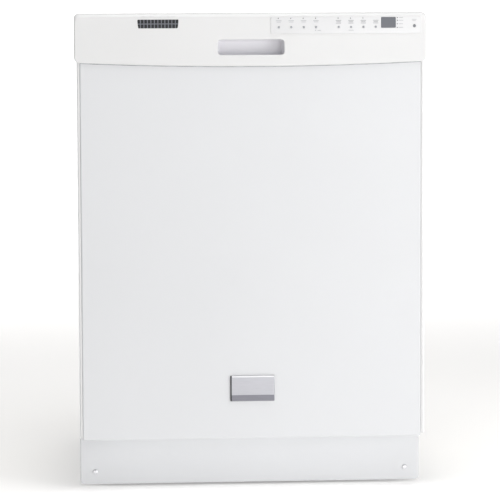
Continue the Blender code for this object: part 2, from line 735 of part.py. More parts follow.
def make_hinges(door, metal, spring_steel):
    """Hinge arms that turn on the base's pins, and the springs that balance the door."""
    arm = [(-0.2885, 0.0935), (-0.264, 0.0915), (-0.236, 0.0945), (-0.236, 0.1055)]
    arm += [(-0.262, 0.108), (-0.266, 0.300), (-0.2885, 0.300)]
    for label, side in SIDES.items():
        near, far = sorted((side * 0.2870, side * 0.2965))
        hinge = solid("hinge_" + label, *prism(arm, "x", near, far), metal, door)
        hole = rod("x", (0, HINGE_Y, HINGE_Z), AXLE_RADIUS + 0.0005, near - 0.001, far + 0.001, 12)
        combine(hinge, "DIFFERENCE", hole)
        spring = rod("y", (side * 0.2885, 0, HINGE_Z), 0.006, -0.2340, 0.1035, 12)
        smooth(solid("door_spring_" + label, *spring, spring_steel))


def make_latch(door, plastic, zinc):
    """Latch: a U-shaped housing behind the handle and a sprung pawl that hooks behind the strike."""
    shape = block((-0.018, -0.284, 0.758), (0.018, -0.246, 0.790))
    housing = solid("latch_housing", *shape, plastic, door)
    slot = block((-0.0075, -0.281, 0.761), (0.0075, -0.2, 0.9))
    combine(housing, "DIFFERENCE", slot)
    axis = body("latch_pawl", (0, LATCH_Y, LATCH_Z), door)
    outline = arc((LATCH_Y, LATCH_Z), 0.0055, 90, 270, 4) + [(-0.2405, 0.7785), (-0.2405, 0.7970)]
    outline += [(-0.2440, 0.7980), (-0.2475, 0.7960), (-0.2475, 0.7912)]
    pawl = solid("latch_pawl", *prism(outline, "x", -0.0065, 0.0065), zinc, axis)
    smooth(pawl)


def make_dispenser(door, plastic, grey):
    """Detergent cup with its hinged lid, and the rinse aid cap beside it."""
    low = (-DISPENSER_HALF, -0.262, DISPENSER_LOW)
    high = (DISPENSER_HALF, DISPENSER_FACE, DISPENSER_HIGH)
    housing = solid("dispenser_body", *block(low, high), plastic, door)
    cup = rounded(LID_LEFT + 0.005, -0.005, LID_LOW + 0.003, LID_HIGH - 0.003, 0.008, 2)
    cup_cut = prism(cup, "y", -0.2535, -0.2)
    combine(housing, "DIFFERENCE", cup_cut)

    face = DISPENSER_FACE + GAP
    lid_axis = body("dispenser_lid", (-0.040, face + LID_THICK, LID_LOW), door)
    outline = rounded(LID_LEFT, 0.0, LID_LOW, LID_HIGH, 0.004, 2)
    solid("dispenser_lid", *prism(outline, "y", face, face + LID_THICK), grey, lid_axis)

    cap_axis = body("rinse_cap", (CAP_X, face, CAP_Z), door)
    profile = [(0.021, face), (0.021, face + 0.0030), (0.0195, face + 0.0042)]
    cap = solid("rinse_cap", *turned(profile, "y", (CAP_X, 0, CAP_Z), 20), grey, cap_axis)
    grip = block(
        (CAP_X - 0.015, face + 0.002, CAP_Z - 0.002),
        (CAP_X + 0.015, face + 0.0075, CAP_Z + 0.002),
    )
    combine(cap, "UNION", grip)


# ---------------------------------------------------------------- racks


def make_lower_rack(coated, plastic, basket_plastic):
    """Lower rack on four wheels, with the cutlery basket that stands in it."""
    axis = body("lower_rack", (0, 0, LOWER_RACK_LOW))
    low = (-LOWER_RACK_HALF, RACK_FRONT, LOWER_RACK_LOW)
    high = (LOWER_RACK_HALF, RACK_BACK, LOWER_RACK_HIGH)
    rack = crate("lower_rack", low, high, coated, axis)
    for label, side in SIDES.items():
        for place, y in WHEEL_YS.items():
            near, far = sorted((side * (LOWER_RACK_HALF - 0.0045), side * (LOWER_RACK_HALF - 0.0003)))
            hanger = block(
                (near, y - 0.008, WHEEL_Z - 0.008),
                (far, y + 0.008, LOWER_RACK_LOW + 0.020),
            )
            near, far = sorted((side * 0.2400, side * (WHEEL_OUT + 0.0015)))
            axle = rod("x", (0, y, WHEEL_Z), AXLE_RADIUS, near, far, 12)
            combine(rack, "UNION", hanger, axle)
            wheel_axis = body(f"wheel_{label}_{place}", (side * 0.251, y, WHEEL_Z), axis)
            near, far = sorted((side * WHEEL_IN, side * WHEEL_OUT))
            edge = 0.0015
            bore = AXLE_RADIUS + 0.0004
            profile = [(bore, near), (WHEEL_RADIUS - edge, near), (WHEEL_RADIUS, near + edge)]
            profile += [(WHEEL_RADIUS, far - edge), (WHEEL_RADIUS - edge, far), (bore, far)]
            ring = turned(profile, "x", (0, y, WHEEL_Z), 16, ring=True)
            smooth(solid(f"wheel_{label}_{place}", *ring, plastic, wheel_axis))

    basket = solid(
        "cutlery_basket",
        *block((BASKET_IN, BASKET_FRONT, BASKET_LOW), (BASKET_OUT, BASKET_BACK, BASKET_HIGH)),
        basket_plastic,
        axis,
    )
    wall = 0.0025
    middle = (BASKET_FRONT + BASKET_BACK) / 2
    halves = ((BASKET_FRONT + wall, middle - wall / 2), (middle + wall / 2, BASKET_BACK - wall))
    for start, end in halves:
        cut = block(
            (BASKET_IN + wall, start, BASKET_LOW + wall),
            (BASKET_OUT - wall, end, BASKET_HIGH + 0.01),
        )
        combine(basket, "DIFFERENCE", cut)
    centre = (BASKET_IN + BASKET_OUT) / 2
    top = BASKET_HIGH + BASKET_GRIP
    grip = block((centre - 0.006, middle - 0.060, top - 0.008), (centre + 0.006, middle + 0.060, top))
    post = block(
        (centre - 0.005, middle - 0.004, BASKET_HIGH - 0.090),
        (centre + 0.005, middle + 0.004, top - 0.004),
    )
    combine(basket, "UNION", post, grip)


def make_upper_rack(coated, steel, zinc, white):
    """Upper rack with its water channel, the spray arm under it and the rails at its sides."""
    axis = body("upper_rack", (0, 0, UPPER_RACK_LOW))
    low = (-UPPER_RACK_HALF, RACK_FRONT, UPPER_RACK_LOW)
    high = (UPPER_RACK_HALF, RACK_BACK, UPPER_RACK_HIGH)
    rack = crate("upper_rack", low, high, coated, axis)
    channel = block((-0.009, ARM_Y - 0.012, 0.4515), (0.009, 0.2715, UPPER_RACK_LOW + 0.0022))
    combine(rack, "UNION", channel)
    for label, side in SIDES.items():
        spans = {
            "runner": (UPPER_RACK_HALF - 0.0048, 0.2510),
            "slide": (0.2513, 0.2560),
            "fixed": (0.2563, 0.2617),
        }
        places = {key: sorted((side * span[0], side * span[1])) for key, span in spans.items()}
        near, far = places["runner"]
        runner = block((near, RACK_FRONT + 0.004, 0.505), (far, RACK_BACK - 0.004, 0.519))
        combine(rack, "UNION", runner)
        slide_axis = body("rail_slide_" + label, (side * 0.2535, 0, 0.512))
        near, far = places["slide"]
        low, high = RAIL_LOW + 0.002, RAIL_HIGH - 0.002
        outline = [(near, low), (far, low), (far, high), (near, high)]
        solid("rail_slide_" + label, *prism(outline, "y", RAIL_FRONT, RAIL_BACK), steel, slide_axis)
        near, far = places["fixed"]
        outline = [(near, RAIL_LOW), (far, RAIL_LOW), (far, RAIL_HIGH), (near, RAIL_HIGH)]
        solid("rail_fixed_" + label, *prism(outline, "y", RAIL_FRONT - 0.002, RAIL_BACK + 0.006), zinc)
    arm_axis = body("middle_spray_arm", (0, ARM_Y, 0.442), axis)
    make_arm("middle_spray_arm", 0.205, 0.436, 0.447, (0.433, 0.4508), white, arm_axis)


# ---------------------------------------------------------------- assembly


def main():
    for old in list(bpy.data.objects):
        bpy.data.objects.remove(old)
    white = material("white_enamel", "EDEDEC", 0.28)
    moulded = material("white_moulded_plastic", "F1F1F0", 0.38)
    liner_white = material("liner_plastic", "E9EAEA", 0.35)
    overlay = material("overlay_film", "F6F6F6", 0.30)
    grey = material("grey_plastic", "8E9096", 0.42)
    dark = material("dark_plastic", "2B2F38", 0.45)
    glass = material("dark_window", "3A3C42", 0.12)
    silver = material("badge_silver", "C9CACC", 0.30, 0.6)
    steel = material("stainless_steel", "B9BBBD", 0.32, 1.0)
    zinc = material("zinc_plate", "A9ABAC", 0.42, 1.0)
    rubber = material("seal_rubber", "3B3C3D", 0.75)
    fibre = material("insulation_felt", "D8D6CE", 0.95)
    coated = material("nylon_coated_wire", "C4C7CB", 0.45)
    enamel = material("motor_paint", "55585C", 0.50)

    make_base(zinc)
    make_feet(dark)
    make_toe_kick(white, steel)
    make_tub(steel, rubber, zinc, fibre)
    make_brackets(zinc)
    make_sump(dark, enamel, grey)
    make_services(enamel, zinc)
    make_floor_pieces(steel, grey, moulded)
    door = body("door", (0, HINGE_Y, HINGE_Z))
    make_door_shells(door, white, liner_white, silver)
    make_console(door, moulded, grey, overlay, glass, dark)
    make_hinges(door, zinc, steel)
    make_latch(door, dark, zinc)
    make_dispenser(door, moulded, grey)
    make_lower_rack(coated, grey, grey)
    make_upper_rack(coated, steel, zinc, grey)


main()
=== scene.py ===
"""Built in dishwasher: the finished surfaces, materials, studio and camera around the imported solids."""

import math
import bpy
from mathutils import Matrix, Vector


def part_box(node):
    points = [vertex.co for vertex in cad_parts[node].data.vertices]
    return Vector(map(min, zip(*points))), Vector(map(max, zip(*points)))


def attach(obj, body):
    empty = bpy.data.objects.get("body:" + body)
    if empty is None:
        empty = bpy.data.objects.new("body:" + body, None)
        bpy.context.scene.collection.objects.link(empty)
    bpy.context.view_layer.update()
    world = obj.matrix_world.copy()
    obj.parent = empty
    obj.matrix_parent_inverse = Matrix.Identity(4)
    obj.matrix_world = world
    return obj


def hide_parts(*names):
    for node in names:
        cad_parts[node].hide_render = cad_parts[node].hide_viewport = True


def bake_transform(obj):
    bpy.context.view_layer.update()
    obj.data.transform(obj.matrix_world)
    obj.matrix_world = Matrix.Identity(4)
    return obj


bl_info = {
    "name": "Built In Dishwasher",
    "version": (1, 0, 0),
    "blender": (4, 5, 0),
    "location": "View3D > Sidebar > Dishwasher",
    "description": "Builds the surfaces and materials of a built in dishwasher around its packed solids",
    "category": "Object",
}

import bmesh
import bpy
import numpy as np
from mathutils import Euler, Vector
from mathutils.geometry import delaunay_2d_cdt

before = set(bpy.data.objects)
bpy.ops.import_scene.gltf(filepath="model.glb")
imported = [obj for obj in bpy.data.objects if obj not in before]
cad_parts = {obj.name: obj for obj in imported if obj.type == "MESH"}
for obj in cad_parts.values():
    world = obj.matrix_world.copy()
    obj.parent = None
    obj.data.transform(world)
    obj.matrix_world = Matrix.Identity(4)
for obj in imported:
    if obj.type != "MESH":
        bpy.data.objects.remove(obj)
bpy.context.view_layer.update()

BOX = {name: (np.array(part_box(name)[0]), np.array(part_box(name)[1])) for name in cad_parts}
CAB, DOOR = "cabinet", "door"
SIDES = {"left": -1, "right": 1}
FRONT = float(BOX["console"][0][1])
MM = 0.001
CONSOLE_BOW = 7.5 * MM  # how far the console's lower lip drops towards the middle
FIT_GAP = 0.3 * MM  # clearance round a button and round the display window
AIR_LIGHT = 0.35  # strength of the studio's even light
AIM = Vector((0, 0, 0.45))  # the point that every light faces

# ------------------------------------------------------------------ colour


def linear(hex_colour):
    """An sRGB hex colour as linear light: each channel is divided by 12.92, or raised to the power 2.4."""
    channels = [int(hex_colour[i : i + 2], 16) / 255 for i in (0, 2, 4)]
    return tuple(c / 12.92 if c <= 0.04045 else ((c + 0.055) / 1.055) ** 2.4 for c in channels)


def rgba(colour):
    """A linear colour with full alpha."""
    return (*colour[:3], 1.0)


# ------------------------------------------------------------------ settings


def length(name, default, words):
    """A length property in metres."""
    return bpy.props.FloatProperty(name=name, description=words, default=default, unit="LENGTH", min=0.0)


def colour(name, default, words):
    """A colour property from an sRGB hex value."""
    return bpy.props.FloatVectorProperty(
        name=name, description=words, default=linear(default), subtype="COLOR", size=3, min=0.0, max=1.0
    )


class FinishSettings(bpy.types.PropertyGroup):
    """Colours of the machine's finishes."""

    enamel: colour("Enamel", "D6D7D9", "Door and toe panel enamel")
    moulding: colour("Moulding", "DBDBDB", "Console plastic")
    film: colour("Control film", "D4D4D5", "Printed film over the controls")
    liner: colour("Liner", "E4E6E7", "Inner door plastic")
    grip: colour("Handle cup", "E6E5E9", "Plastic of the recessed handle")
    ink: colour("Ink", "7B7D82", "Printed marks on the control film")
    badge: colour("Badge", "A8A8AD", "Face of the door's plain plate")
    steel: colour("Stainless", "D0D2D4", "Tub and rail steel")
    wire: colour("Rack wire", "B4BAC2", "Nylon coat on the rack wires")
    basket: colour("Basket", "9DA3AC", "Basket and spray arm plastic")


class FrontSettings(bpy.types.PropertyGroup):
    """Sizes of the front that only the finished surfaces show."""

    edge: length("Panel edge", 2.5 * MM, "Radius of the door panel's folded edges")
    console_top: length("Console top", 10.0 * MM, "Radius along the console's upper edge")
    console_low: length("Console lip", 2.6 * MM, "Radius along the console's lower edge")
    wall: length("Console wall", 2.0 * MM, "Thickness of the console moulding")
    pocket_rim: length("Pocket rim", 1.4 * MM, "Radius round the handle's opening")


class RackSettings(bpy.types.PropertyGroup):
    """Wire sizes of the two racks."""

    frame_wire: length("Frame wire", 4.6 * MM, "Diameter of the rack's frame wires")
    fine_wire: length("Fine wire", 3.2 * MM, "Diameter of the rack's other wires and tines")
    pitch: length("Wire pitch", 26.0 * MM, "Distance between neighbouring wires")
    tine: length("Tine height", 78.0 * MM, "Height of the plate tines")


class StageSettings(bpy.types.PropertyGroup):
    """Studio and camera."""

    distance: length("Distance", 5.0, "From the front's plane to the camera")
    side: bpy.props.FloatProperty(
        name="Side", description="Camera's place to the right of the middle", default=-0.351, unit="LENGTH"
    )
    height: length("Height", 0.862, "Camera's height over the floor")
    yaw: bpy.props.FloatProperty(
        name="Yaw", description="Turn to the right", default=math.radians(4.0), subtype="ANGLE"
    )
    pitch: bpy.props.FloatProperty(
        name="Pitch", description="Tilt downwards", default=math.radians(5.04), subtype="ANGLE"
    )
    roll: bpy.props.FloatProperty(
        name="Roll", description="Tilt to one side", default=math.radians(0.26), subtype="ANGLE"
    )
    lens: bpy.props.FloatProperty(
        name="Lens", description="Focal length on a 36 mm sensor", default=209.9, subtype="DISTANCE_CAMERA"
    )
    paper: colour("Paper", "FFFEFD", "Floor and backdrop")


def settings():
    """The scene's four groups of settings."""
    scene = bpy.context.scene
    return scene.dw_finish, scene.dw_front, scene.dw_rack, scene.dw_stage


# ------------------------------------------------------------------ surfaces


def grid(points, wrap_rows=False, wrap_columns=True, cap_start=False, cap_end=False):
    """Quads over a (rows, columns, 3) array of points; a cap is one face over the first or last row."""
    rows, columns = points.shape[:2]
    index = np.arange(rows * columns).reshape(rows, columns)
    if wrap_rows:
        index = np.concatenate([index, index[:1]])
    if wrap_columns:
        index = np.concatenate([index, index[:, :1]], axis=1)
    quads = np.stack([index[:-1, :-1], index[:-1, 1:], index[1:, 1:], index[1:, :-1]], axis=-1)
    faces = quads.reshape(-1, 4).tolist()
    if cap_start:
        faces.append(np.arange(columns)[::-1].tolist())
    if cap_end:
        faces.append((np.arange(columns) + (rows - 1) * columns).tolist())
    return points.reshape(-1, 3), faces


def build(name, parts, finish, body, replaces=(), sharp=32):
    """One finished piece from several surfaces: joined, normals outwards, shaded smooth, riding on a body."""
    verts, faces, start = [], [], 0
    for points, polygons in parts:
        verts.append(np.asarray(points, float))
        faces += [[i + start for i in polygon] for polygon in polygons]
        start += len(points)
    mesh = bpy.data.meshes.new(name)
    mesh.from_pydata(np.concatenate(verts).tolist(), [], faces)
    shape = bmesh.new()
    shape.from_mesh(mesh)
    bmesh.ops.remove_doubles(shape, verts=shape.verts, dist=1e-6)
    bmesh.ops.recalc_face_normals(shape, faces=shape.faces)
    shape.to_mesh(mesh)
    shape.free()
    mesh.shade_smooth()
    mesh.set_sharp_from_angle(angle=math.radians(sharp))
    mesh.materials.append(finish)
    piece = bpy.data.objects.new(name, mesh)
    bpy.context.scene.collection.objects.link(piece)
    weighted = piece.modifiers.new("flat faces stay flat", "WEIGHTED_NORMAL")
    weighted.keep_sharp = True
    if body:
        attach(piece, body)
    if replaces:
        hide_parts(*replaces)
    return piece


def ring(left, right, low, high, radius, corner=6, across=24, upright=8, bow=0.0):
    """A rounded rectangle's outline with a fixed count of points on each side, anticlockwise from the right side.

    The lower side may bow: each of its points drops by bow times one minus the square of its place, -1 to 1."""
    turn = np.linspace(0, math.pi / 2, corner, endpoint=False)
    arcs = []
    centres = [(right - radius, high - radius), (left + radius, high - radius)]
    centres += [(left + radius, low + radius), (right - radius, low + radius)]
    starts = [0, math.pi / 2, math.pi, 1.5 * math.pi]
    following = centres[1:] + centres[:1]
    for i, (centre, start, after) in enumerate(zip(centres, starts, following)):
        arcs.append(np.array(centre) + radius * np.stack([np.cos(start + turn), np.sin(start + turn)], -1))
        leave = np.array(centre) + radius * np.array([math.cos(start + math.pi / 2), math.sin(start + math.pi / 2)])
        arrive = np.array(after) + radius * np.array([math.cos(start + math.pi / 2), math.sin(start + math.pi / 2)])
        count = across if i in (0, 2) else upright
        arcs.append(leave + (arrive - leave) * np.linspace(0, 1, count, endpoint=False)[:, None])
    outline = np.concatenate(arcs)
    if bow:
        place = np.clip((outline[:, 0] - (left + right) / 2) / ((right - left) / 2), -1, 1)
        under = np.clip((low + radius * 1.001 - outline[:, 1]) / radius, 0, 1)
        outline[:, 1] -= bow * (1 - place**2) * under
    return outline


def grown(outline, distance):
    """An outline moved outwards by a distance: each point goes along its two edges' shared normal.

    Clipping to the shrunk bounds gathers the points of a corner that is tighter than the distance."""
    before = outline - np.roll(outline, 1, axis=0)
    after = np.roll(outline, -1, axis=0) - outline
    first = np.stack([before[:, 1], -before[:, 0]], -1) / np.linalg.norm(before, axis=1)[:, None]
    second = np.stack([after[:, 1], -after[:, 0]], -1) / np.linalg.norm(after, axis=1)[:, None]
    shared = (first + second) / (1 + np.sum(first * second, axis=1))[:, None]
    distance = np.broadcast_to(np.asarray(distance, float).reshape(-1, 1), (len(outline), 1))
    inset = np.maximum(-distance, 0)
    low, high = outline.min(0) + inset, outline.max(0) - inset
    return np.clip(outline + shared * distance, low - np.maximum(distance, 0), high + np.maximum(distance, 0))


def placed(outline, level, axis):
    """An outline's points in space at a level along an axis; its plane is (y, z), (x, z) or (x, y)."""
    level = np.broadcast_to(level, len(outline))
    columns = {"x": (level, outline[:, 0], outline[:, 1]), "y": (outline[:, 0], level, outline[:, 1])}
    columns["z"] = (outline[:, 0], outline[:, 1], level)
    return np.stack(columns[axis], -1)


def rounded(outline, radius, level, turn, out=-1, deep=1):
    """Rows of an outline round a quarter circle that starts in the face at a level and goes deeper along Y."""
    return [
        placed(grown(outline, out * radius * (1 - math.sin(a))), level + deep * radius * (1 - math.cos(a)), "y")
        for a in turn
    ]


def slab(outline, axis, low, high, edge, steps=4):
    """A plate with round edges: the outline shrinks along a quarter circle near each face."""
    turn = np.linspace(0, math.pi / 2, steps + 1)
    deep = math.copysign(edge, high - low)
    rows = [(-edge * (1 - math.sin(a)), low + deep * (1 - math.cos(a))) for a in turn]
    rows += [(-edge * (1 - math.cos(a)), high - deep * (1 - math.sin(a))) for a in turn]
    points = np.stack([placed(grown(outline, inset), level, axis) for inset, level in rows])
    return grid(points, cap_start=True, cap_end=True)


def lathe(profile, axis, centre, steps=32, closed=False):
    """A profile of (radius, height) points spun about an axis through a centre point."""
    profile = np.array(profile, float)
    angle = np.linspace(0, 2 * math.pi, steps, endpoint=False)
    first = profile[:, :1] * np.cos(angle)
    second = profile[:, :1] * np.sin(angle)
    height = np.broadcast_to(profile[:, 1:], first.shape)
    order = {"x": (height, first, second), "y": (second, height, first), "z": (first, second, height)}
    points = np.stack(order[axis], -1) + np.asarray(centre, float)
    if closed:
        return grid(points, wrap_rows=True)
    return grid(points, cap_start=profile[0, 0] > 0, cap_end=profile[-1, 0] > 0)


def frames(path, closed=False):
    """Tangent, normal and side vectors along a path, the normal carried forward without twist."""
    tangent = np.roll(path, -1, 0) - np.roll(path, 1, 0) if closed else np.gradient(path, axis=0)
    tangent /= np.linalg.norm(tangent, axis=1)[:, None]
    normal = np.zeros_like(path)
    current = np.cross(tangent[0], (0.301, 0.502, 0.811))
    for i, along in enumerate(tangent):
        current = current - along * (current @ along)
        current /= np.linalg.norm(current)
        normal[i] = current
    return tangent, normal, np.cross(tangent, normal)


def wire(path, radius, sides=8, closed=False):
    """A round wire: a circle carried along a path of points."""
    path = np.asarray(path, float)
    _, normal, side = frames(path, closed)
    angle = np.linspace(0, 2 * math.pi, sides, endpoint=False)[None, :, None]
    radius = np.broadcast_to(radius, len(path))[:, None, None]
    points = path[:, None] + radius * (np.cos(angle) * normal[:, None] + np.sin(angle) * side[:, None])
    return grid(points, wrap_rows=closed, cap_start=not closed, cap_end=not closed)


def bent(corners, radius, steps=5, closed=False):
    """A path through corner points, each corner a quadratic curve that leaves its runs a radius away."""
    corners = np.asarray(corners, float)
    path = [] if closed else [corners[0]]
    span = range(len(corners)) if closed else range(1, len(corners) - 1)
    share = np.linspace(0, 1, steps + 1)[:, None]
    for i in span:
        before, corner, after = corners[i - 1], corners[i], corners[(i + 1) % len(corners)]
        back, ahead = before - corner, after - corner
        reach = min(radius, np.linalg.norm(back) * 0.49, np.linalg.norm(ahead) * 0.49)
        start = corner + reach * back / np.linalg.norm(back)
        end = corner + reach * ahead / np.linalg.norm(ahead)
        path += list((1 - share) ** 2 * start + 2 * share * (1 - share) * corner + share**2 * end)
    if not closed:
        path.append(corners[-1])
    return np.array(path)


# ------------------------------------------------------------------ materials


def add(tree, kind, values=None, links=None, **properties):
    """Adds a node with its settings, its input values and its links."""
    made = tree.nodes.new("ShaderNode" + kind)
    for key, value in properties.items():
        setattr(made, key, value)
    for key, value in (values or {}).items():
        made.inputs[key].default_value = value
    for key, socket in (links or {}).items():
        tree.links.new(socket, made.inputs[key])
    return made


def finish(name, base, roughness, metallic=0.0, **sockets):
    """A new material with its Principled shader's own values set; returns the material, tree, shader, coordinates."""
    made = bpy.data.materials.new(name)
    made.use_nodes = True
    tree = made.node_tree
    shader = tree.nodes["Principled BSDF"]
    shader.inputs["Base Color"].default_value = rgba(base)
    shader.inputs["Roughness"].default_value = roughness
    shader.inputs["Metallic"].default_value = metallic
    for key, value in sockets.items():
        shader.inputs[key.replace("_", " ")].default_value = value
    place = add(tree, "TexCoord").outputs["Object"]
    return made, tree, shader, place


def noise(tree, place, size, detail=2.0, stretch=(1.0, 1.0, 1.0), roughness=0.5):
    """Noise whose grains are about `size` metres wide, drawn out along an axis by a stretch under one."""
    scaled = add(tree, "Mapping", {"Scale": stretch}, {"Vector": place}).outputs["Vector"]
    values = {"Scale": 1.0 / size, "Detail": detail, "Roughness": roughness}
    return add(tree, "TexNoise", values, {"Vector": scaled}).outputs["Fac"]


def tinted(tree, shader, factor, base, shift, spread=(0.35, 0.65)):
    """Base colour that drifts by a shift in brightness where a pattern goes from low to high."""
    low = tuple(max(0.0, c * (1 - shift)) for c in base[:3])
    high = tuple(min(1.0, c * (1 + shift)) for c in base[:3])
    ramp = add(tree, "ValToRGB", links={"Fac": factor})
    ramp.color_ramp.elements[0].position, ramp.color_ramp.elements[1].position = spread
    ramp.color_ramp.elements[0].color, ramp.color_ramp.elements[1].color = rgba(low), rgba(high)
    tree.links.new(ramp.outputs["Color"], shader.inputs["Base Color"])
    return ramp


def rough(tree, shader, factor, low, high):
    """Roughness between two values, following a pattern."""
    spread = add(tree, "MapRange", {"To Min": low, "To Max": high}, {"Value": factor})
    tree.links.new(spread.outputs["Result"], shader.inputs["Roughness"])


def relief(tree, shader, factor, height, strength=1.0, under=None):
    """Bump of a real height in metres from a pattern, over an earlier bump if there is one."""
    links = {"Height": factor}
    if under:
        links["Normal"] = under
    made = add(tree, "Bump", {"Strength": strength, "Distance": height}, links).outputs["Normal"]
    tree.links.new(made, shader.inputs["Normal"])
    return made


def enamel_on_steel(name, base):
    """Baked enamel on pressed steel: a satin gloss over a faint orange peel of 1.5 mm, and the sheet's slow waves."""
    made, tree, shader, place = finish(name, base, 0.46, IOR=1.5, Coat_Weight=0.25, Coat_Roughness=0.50)
    waves = relief(tree, shader, noise(tree, place, 0.22, 1.0), 0.0006, 0.12)
    peel = noise(tree, place, 0.0016, 1.0)
    relief(tree, shader, peel, 0.00002, 0.30, waves)
    tinted(tree, shader, noise(tree, place, 0.30, 1.0), base, 0.006)
    rough(tree, shader, noise(tree, place, 0.05, 2.0), 0.42, 0.50)
    return made


def moulded_abs(name, base, roughness=0.36):
    """Moulded ABS: a satin skin with the fine spark grain of the mould, drawn at 0.9 mm so that it shows."""
    made, tree, shader, place = finish(name, base, roughness, IOR=1.53)
    relief(tree, shader, noise(tree, place, 0.0009, 2.0), 0.00003, 0.28)
    tinted(tree, shader, noise(tree, place, 0.12, 2.0), base, 0.008)
    rough(tree, shader, noise(tree, place, 0.02, 2.0), roughness - 0.05, roughness + 0.06)
    return made


def polypropylene(name, base, roughness=0.42):
    """Moulded polypropylene: waxy, slightly cloudy, with soft flow marks a few centimetres long."""
    made, tree, shader, place = finish(name, base, roughness, IOR=1.49, Subsurface_Weight=0.04)
    shader.inputs["Subsurface Radius"].default_value = (0.004, 0.003, 0.003)
    flow = noise(tree, place, 0.03, 3.0, (1.0, 1.0, 0.25))
    tinted(tree, shader, flow, base, 0.025)
    rough(tree, shader, flow, roughness - 0.05, roughness + 0.08)
    relief(tree, shader, noise(tree, place, 0.0014, 2.0), 0.00004, 0.25)
    return made


def glass_filled_nylon(name, base):
    """Glass filled nylon: dark and dull, with short fibres that mottle the surface."""
    made, tree, shader, place = finish(name, base, 0.5, IOR=1.53)
    fibres = noise(tree, place, 0.0012, 4.0, (1.0, 1.0, 0.3))
    tinted(tree, shader, fibres, base, 0.18)
    relief(tree, shader, fibres, 0.00005, 0.35)
    rough(tree, shader, noise(tree, place, 0.012, 2.0), 0.42, 0.6)
    return made


def control_film(name, base):
    """Hard coated polyester film: very smooth, a clear coat over a white back print."""
    made, tree, shader, place = finish(name, base, 0.22, IOR=1.57, Coat_Weight=0.2, Coat_Roughness=0.05)
    tinted(tree, shader, noise(tree, place, 0.06, 1.0), base, 0.004)
    relief(tree, shader, noise(tree, place, 0.0007, 1.0), 0.00001, 0.2)
    return made


def screen_ink(name, base):
    """Screen printed ink: matt, slightly uneven, with the mesh's 0.3 mm steps along its edge drawn as mottle."""
    made, tree, shader, place = finish(name, base, 0.6)
    tinted(tree, shader, noise(tree, place, 0.0006, 2.0), base, 0.10)
    relief(tree, shader, noise(tree, place, 0.0005, 1.0), 0.00001, 0.3)
    return made


def smoked_acrylic_painted_reflection(name, low, high, centre, width):
    """Smoked acrylic window: black at its upper left, paler towards the lower right as a painted reflection, with a
    hard clear face.
    """
    made, tree, shader, place = finish(name, low, 0.10, IOR=1.49, Coat_Weight=0.5, Coat_Roughness=0.03)
    turned = add(
        tree,
        "Mapping",
        {"Location": (-centre[0], 0.0, -centre[2]), "Rotation": (0.0, math.radians(25), 0.0)},
        {"Vector": place},
    )
    sides = add(tree, "SeparateXYZ", links={"Vector": turned.outputs["Vector"]})
    share = add(tree, "MapRange", {"From Min": -width / 2, "From Max": width / 2}, {"Value": sides.outputs["X"]})
    # Painted reflection: the base colour runs from the low to the high colour across the acrylic.
    ramp = add(tree, "ValToRGB", links={"Fac": share.outputs["Result"]})
    ramp.color_ramp.elements[0].color, ramp.color_ramp.elements[1].color = rgba(low), rgba(high)
    tree.links.new(ramp.outputs["Color"], shader.inputs["Base Color"])
    relief(tree, shader, noise(tree, place, 0.0008, 1.0), 0.00001, 0.15)
    return made


def satin_aluminium(name, base, along=(0.02, 1.0, 1.0)):
    """Satin anodised aluminium: brushed one way, hairlines of 0.2 mm drawn at 0.5 mm, pearly and cool."""
    made, tree, shader, place = finish(name, base, 0.34, 0.75, Anisotropic=0.4)
    lines = noise(tree, place, 0.0005, 3.0, along)
    tinted(tree, shader, lines, base, 0.06)
    rough(tree, shader, lines, 0.28, 0.42)
    relief(tree, shader, lines, 0.00001, 0.4)
    return made


def brushed_stainless(name, base, along=(1.0, 0.02, 1.0), roughness=0.30):
    """Brushed ferritic stainless sheet: long hairlines, drawn at 0.7 mm, over slow waves left by the press."""
    made, tree, shader, place = finish(name, base, roughness, 1.0, Anisotropic=0.55)
    lines = noise(tree, place, 0.0007, 4.0, along)
    waves = relief(tree, shader, noise(tree, place, 0.09, 1.0), 0.0008, 0.15)
    relief(tree, shader, lines, 0.00001, 0.4, waves)
    tinted(tree, shader, lines, base, 0.05)
    rough(tree, shader, lines, roughness - 0.07, roughness + 0.09)
    return made


def galvanised_sheet(name, base):
    """Hot dipped zinc on steel sheet: crystals of about 9 mm that each catch the light differently."""
    made, tree, shader, place = finish(name, base, 0.42, 0.9)
    cells = add(tree, "TexVoronoi", {"Scale": 110.0, "Randomness": 1.0}, {"Vector": place})
    value = add(tree, "SeparateColor", links={"Color": cells.outputs["Color"]}).outputs["Red"]
    tinted(tree, shader, value, base, 0.10, (0.1, 0.9))
    rough(tree, shader, value, 0.34, 0.52)
    relief(tree, shader, noise(tree, place, 0.0015, 2.0), 0.00003, 0.3)
    return made


def epdm_rubber(name, base):
    """Extruded EPDM rubber: soft black with a grey bloom and fine draw lines."""
    made, tree, shader, place = finish(name, base, 0.62, IOR=1.5, Sheen_Weight=0.15, Sheen_Roughness=0.5)
    bloom = noise(tree, place, 0.018, 4.0)
    tinted(tree, shader, bloom, base, 0.25)
    rough(tree, shader, bloom, 0.52, 0.72)
    relief(tree, shader, noise(tree, place, 0.0009, 2.0, (1.0, 1.0, 0.2)), 0.00005, 0.3)
    return made


def needled_felt(name, base):
    """Needled polyester felt: loose fibres about 1 mm apart, dull, with a downy sheen and lumps of 25 mm."""
    made, tree, shader, place = finish(name, base, 0.92, Sheen_Weight=0.45, Sheen_Roughness=0.6)
    fibres = noise(tree, place, 0.0016, 6.0, (1.0, 0.35, 0.6), 0.7)
    lumps = relief(tree, shader, noise(tree, place, 0.025, 3.0), 0.0025, 0.35)
    relief(tree, shader, fibres, 0.0008, 0.6, lumps)
    tinted(tree, shader, fibres, base, 0.16)
    return made


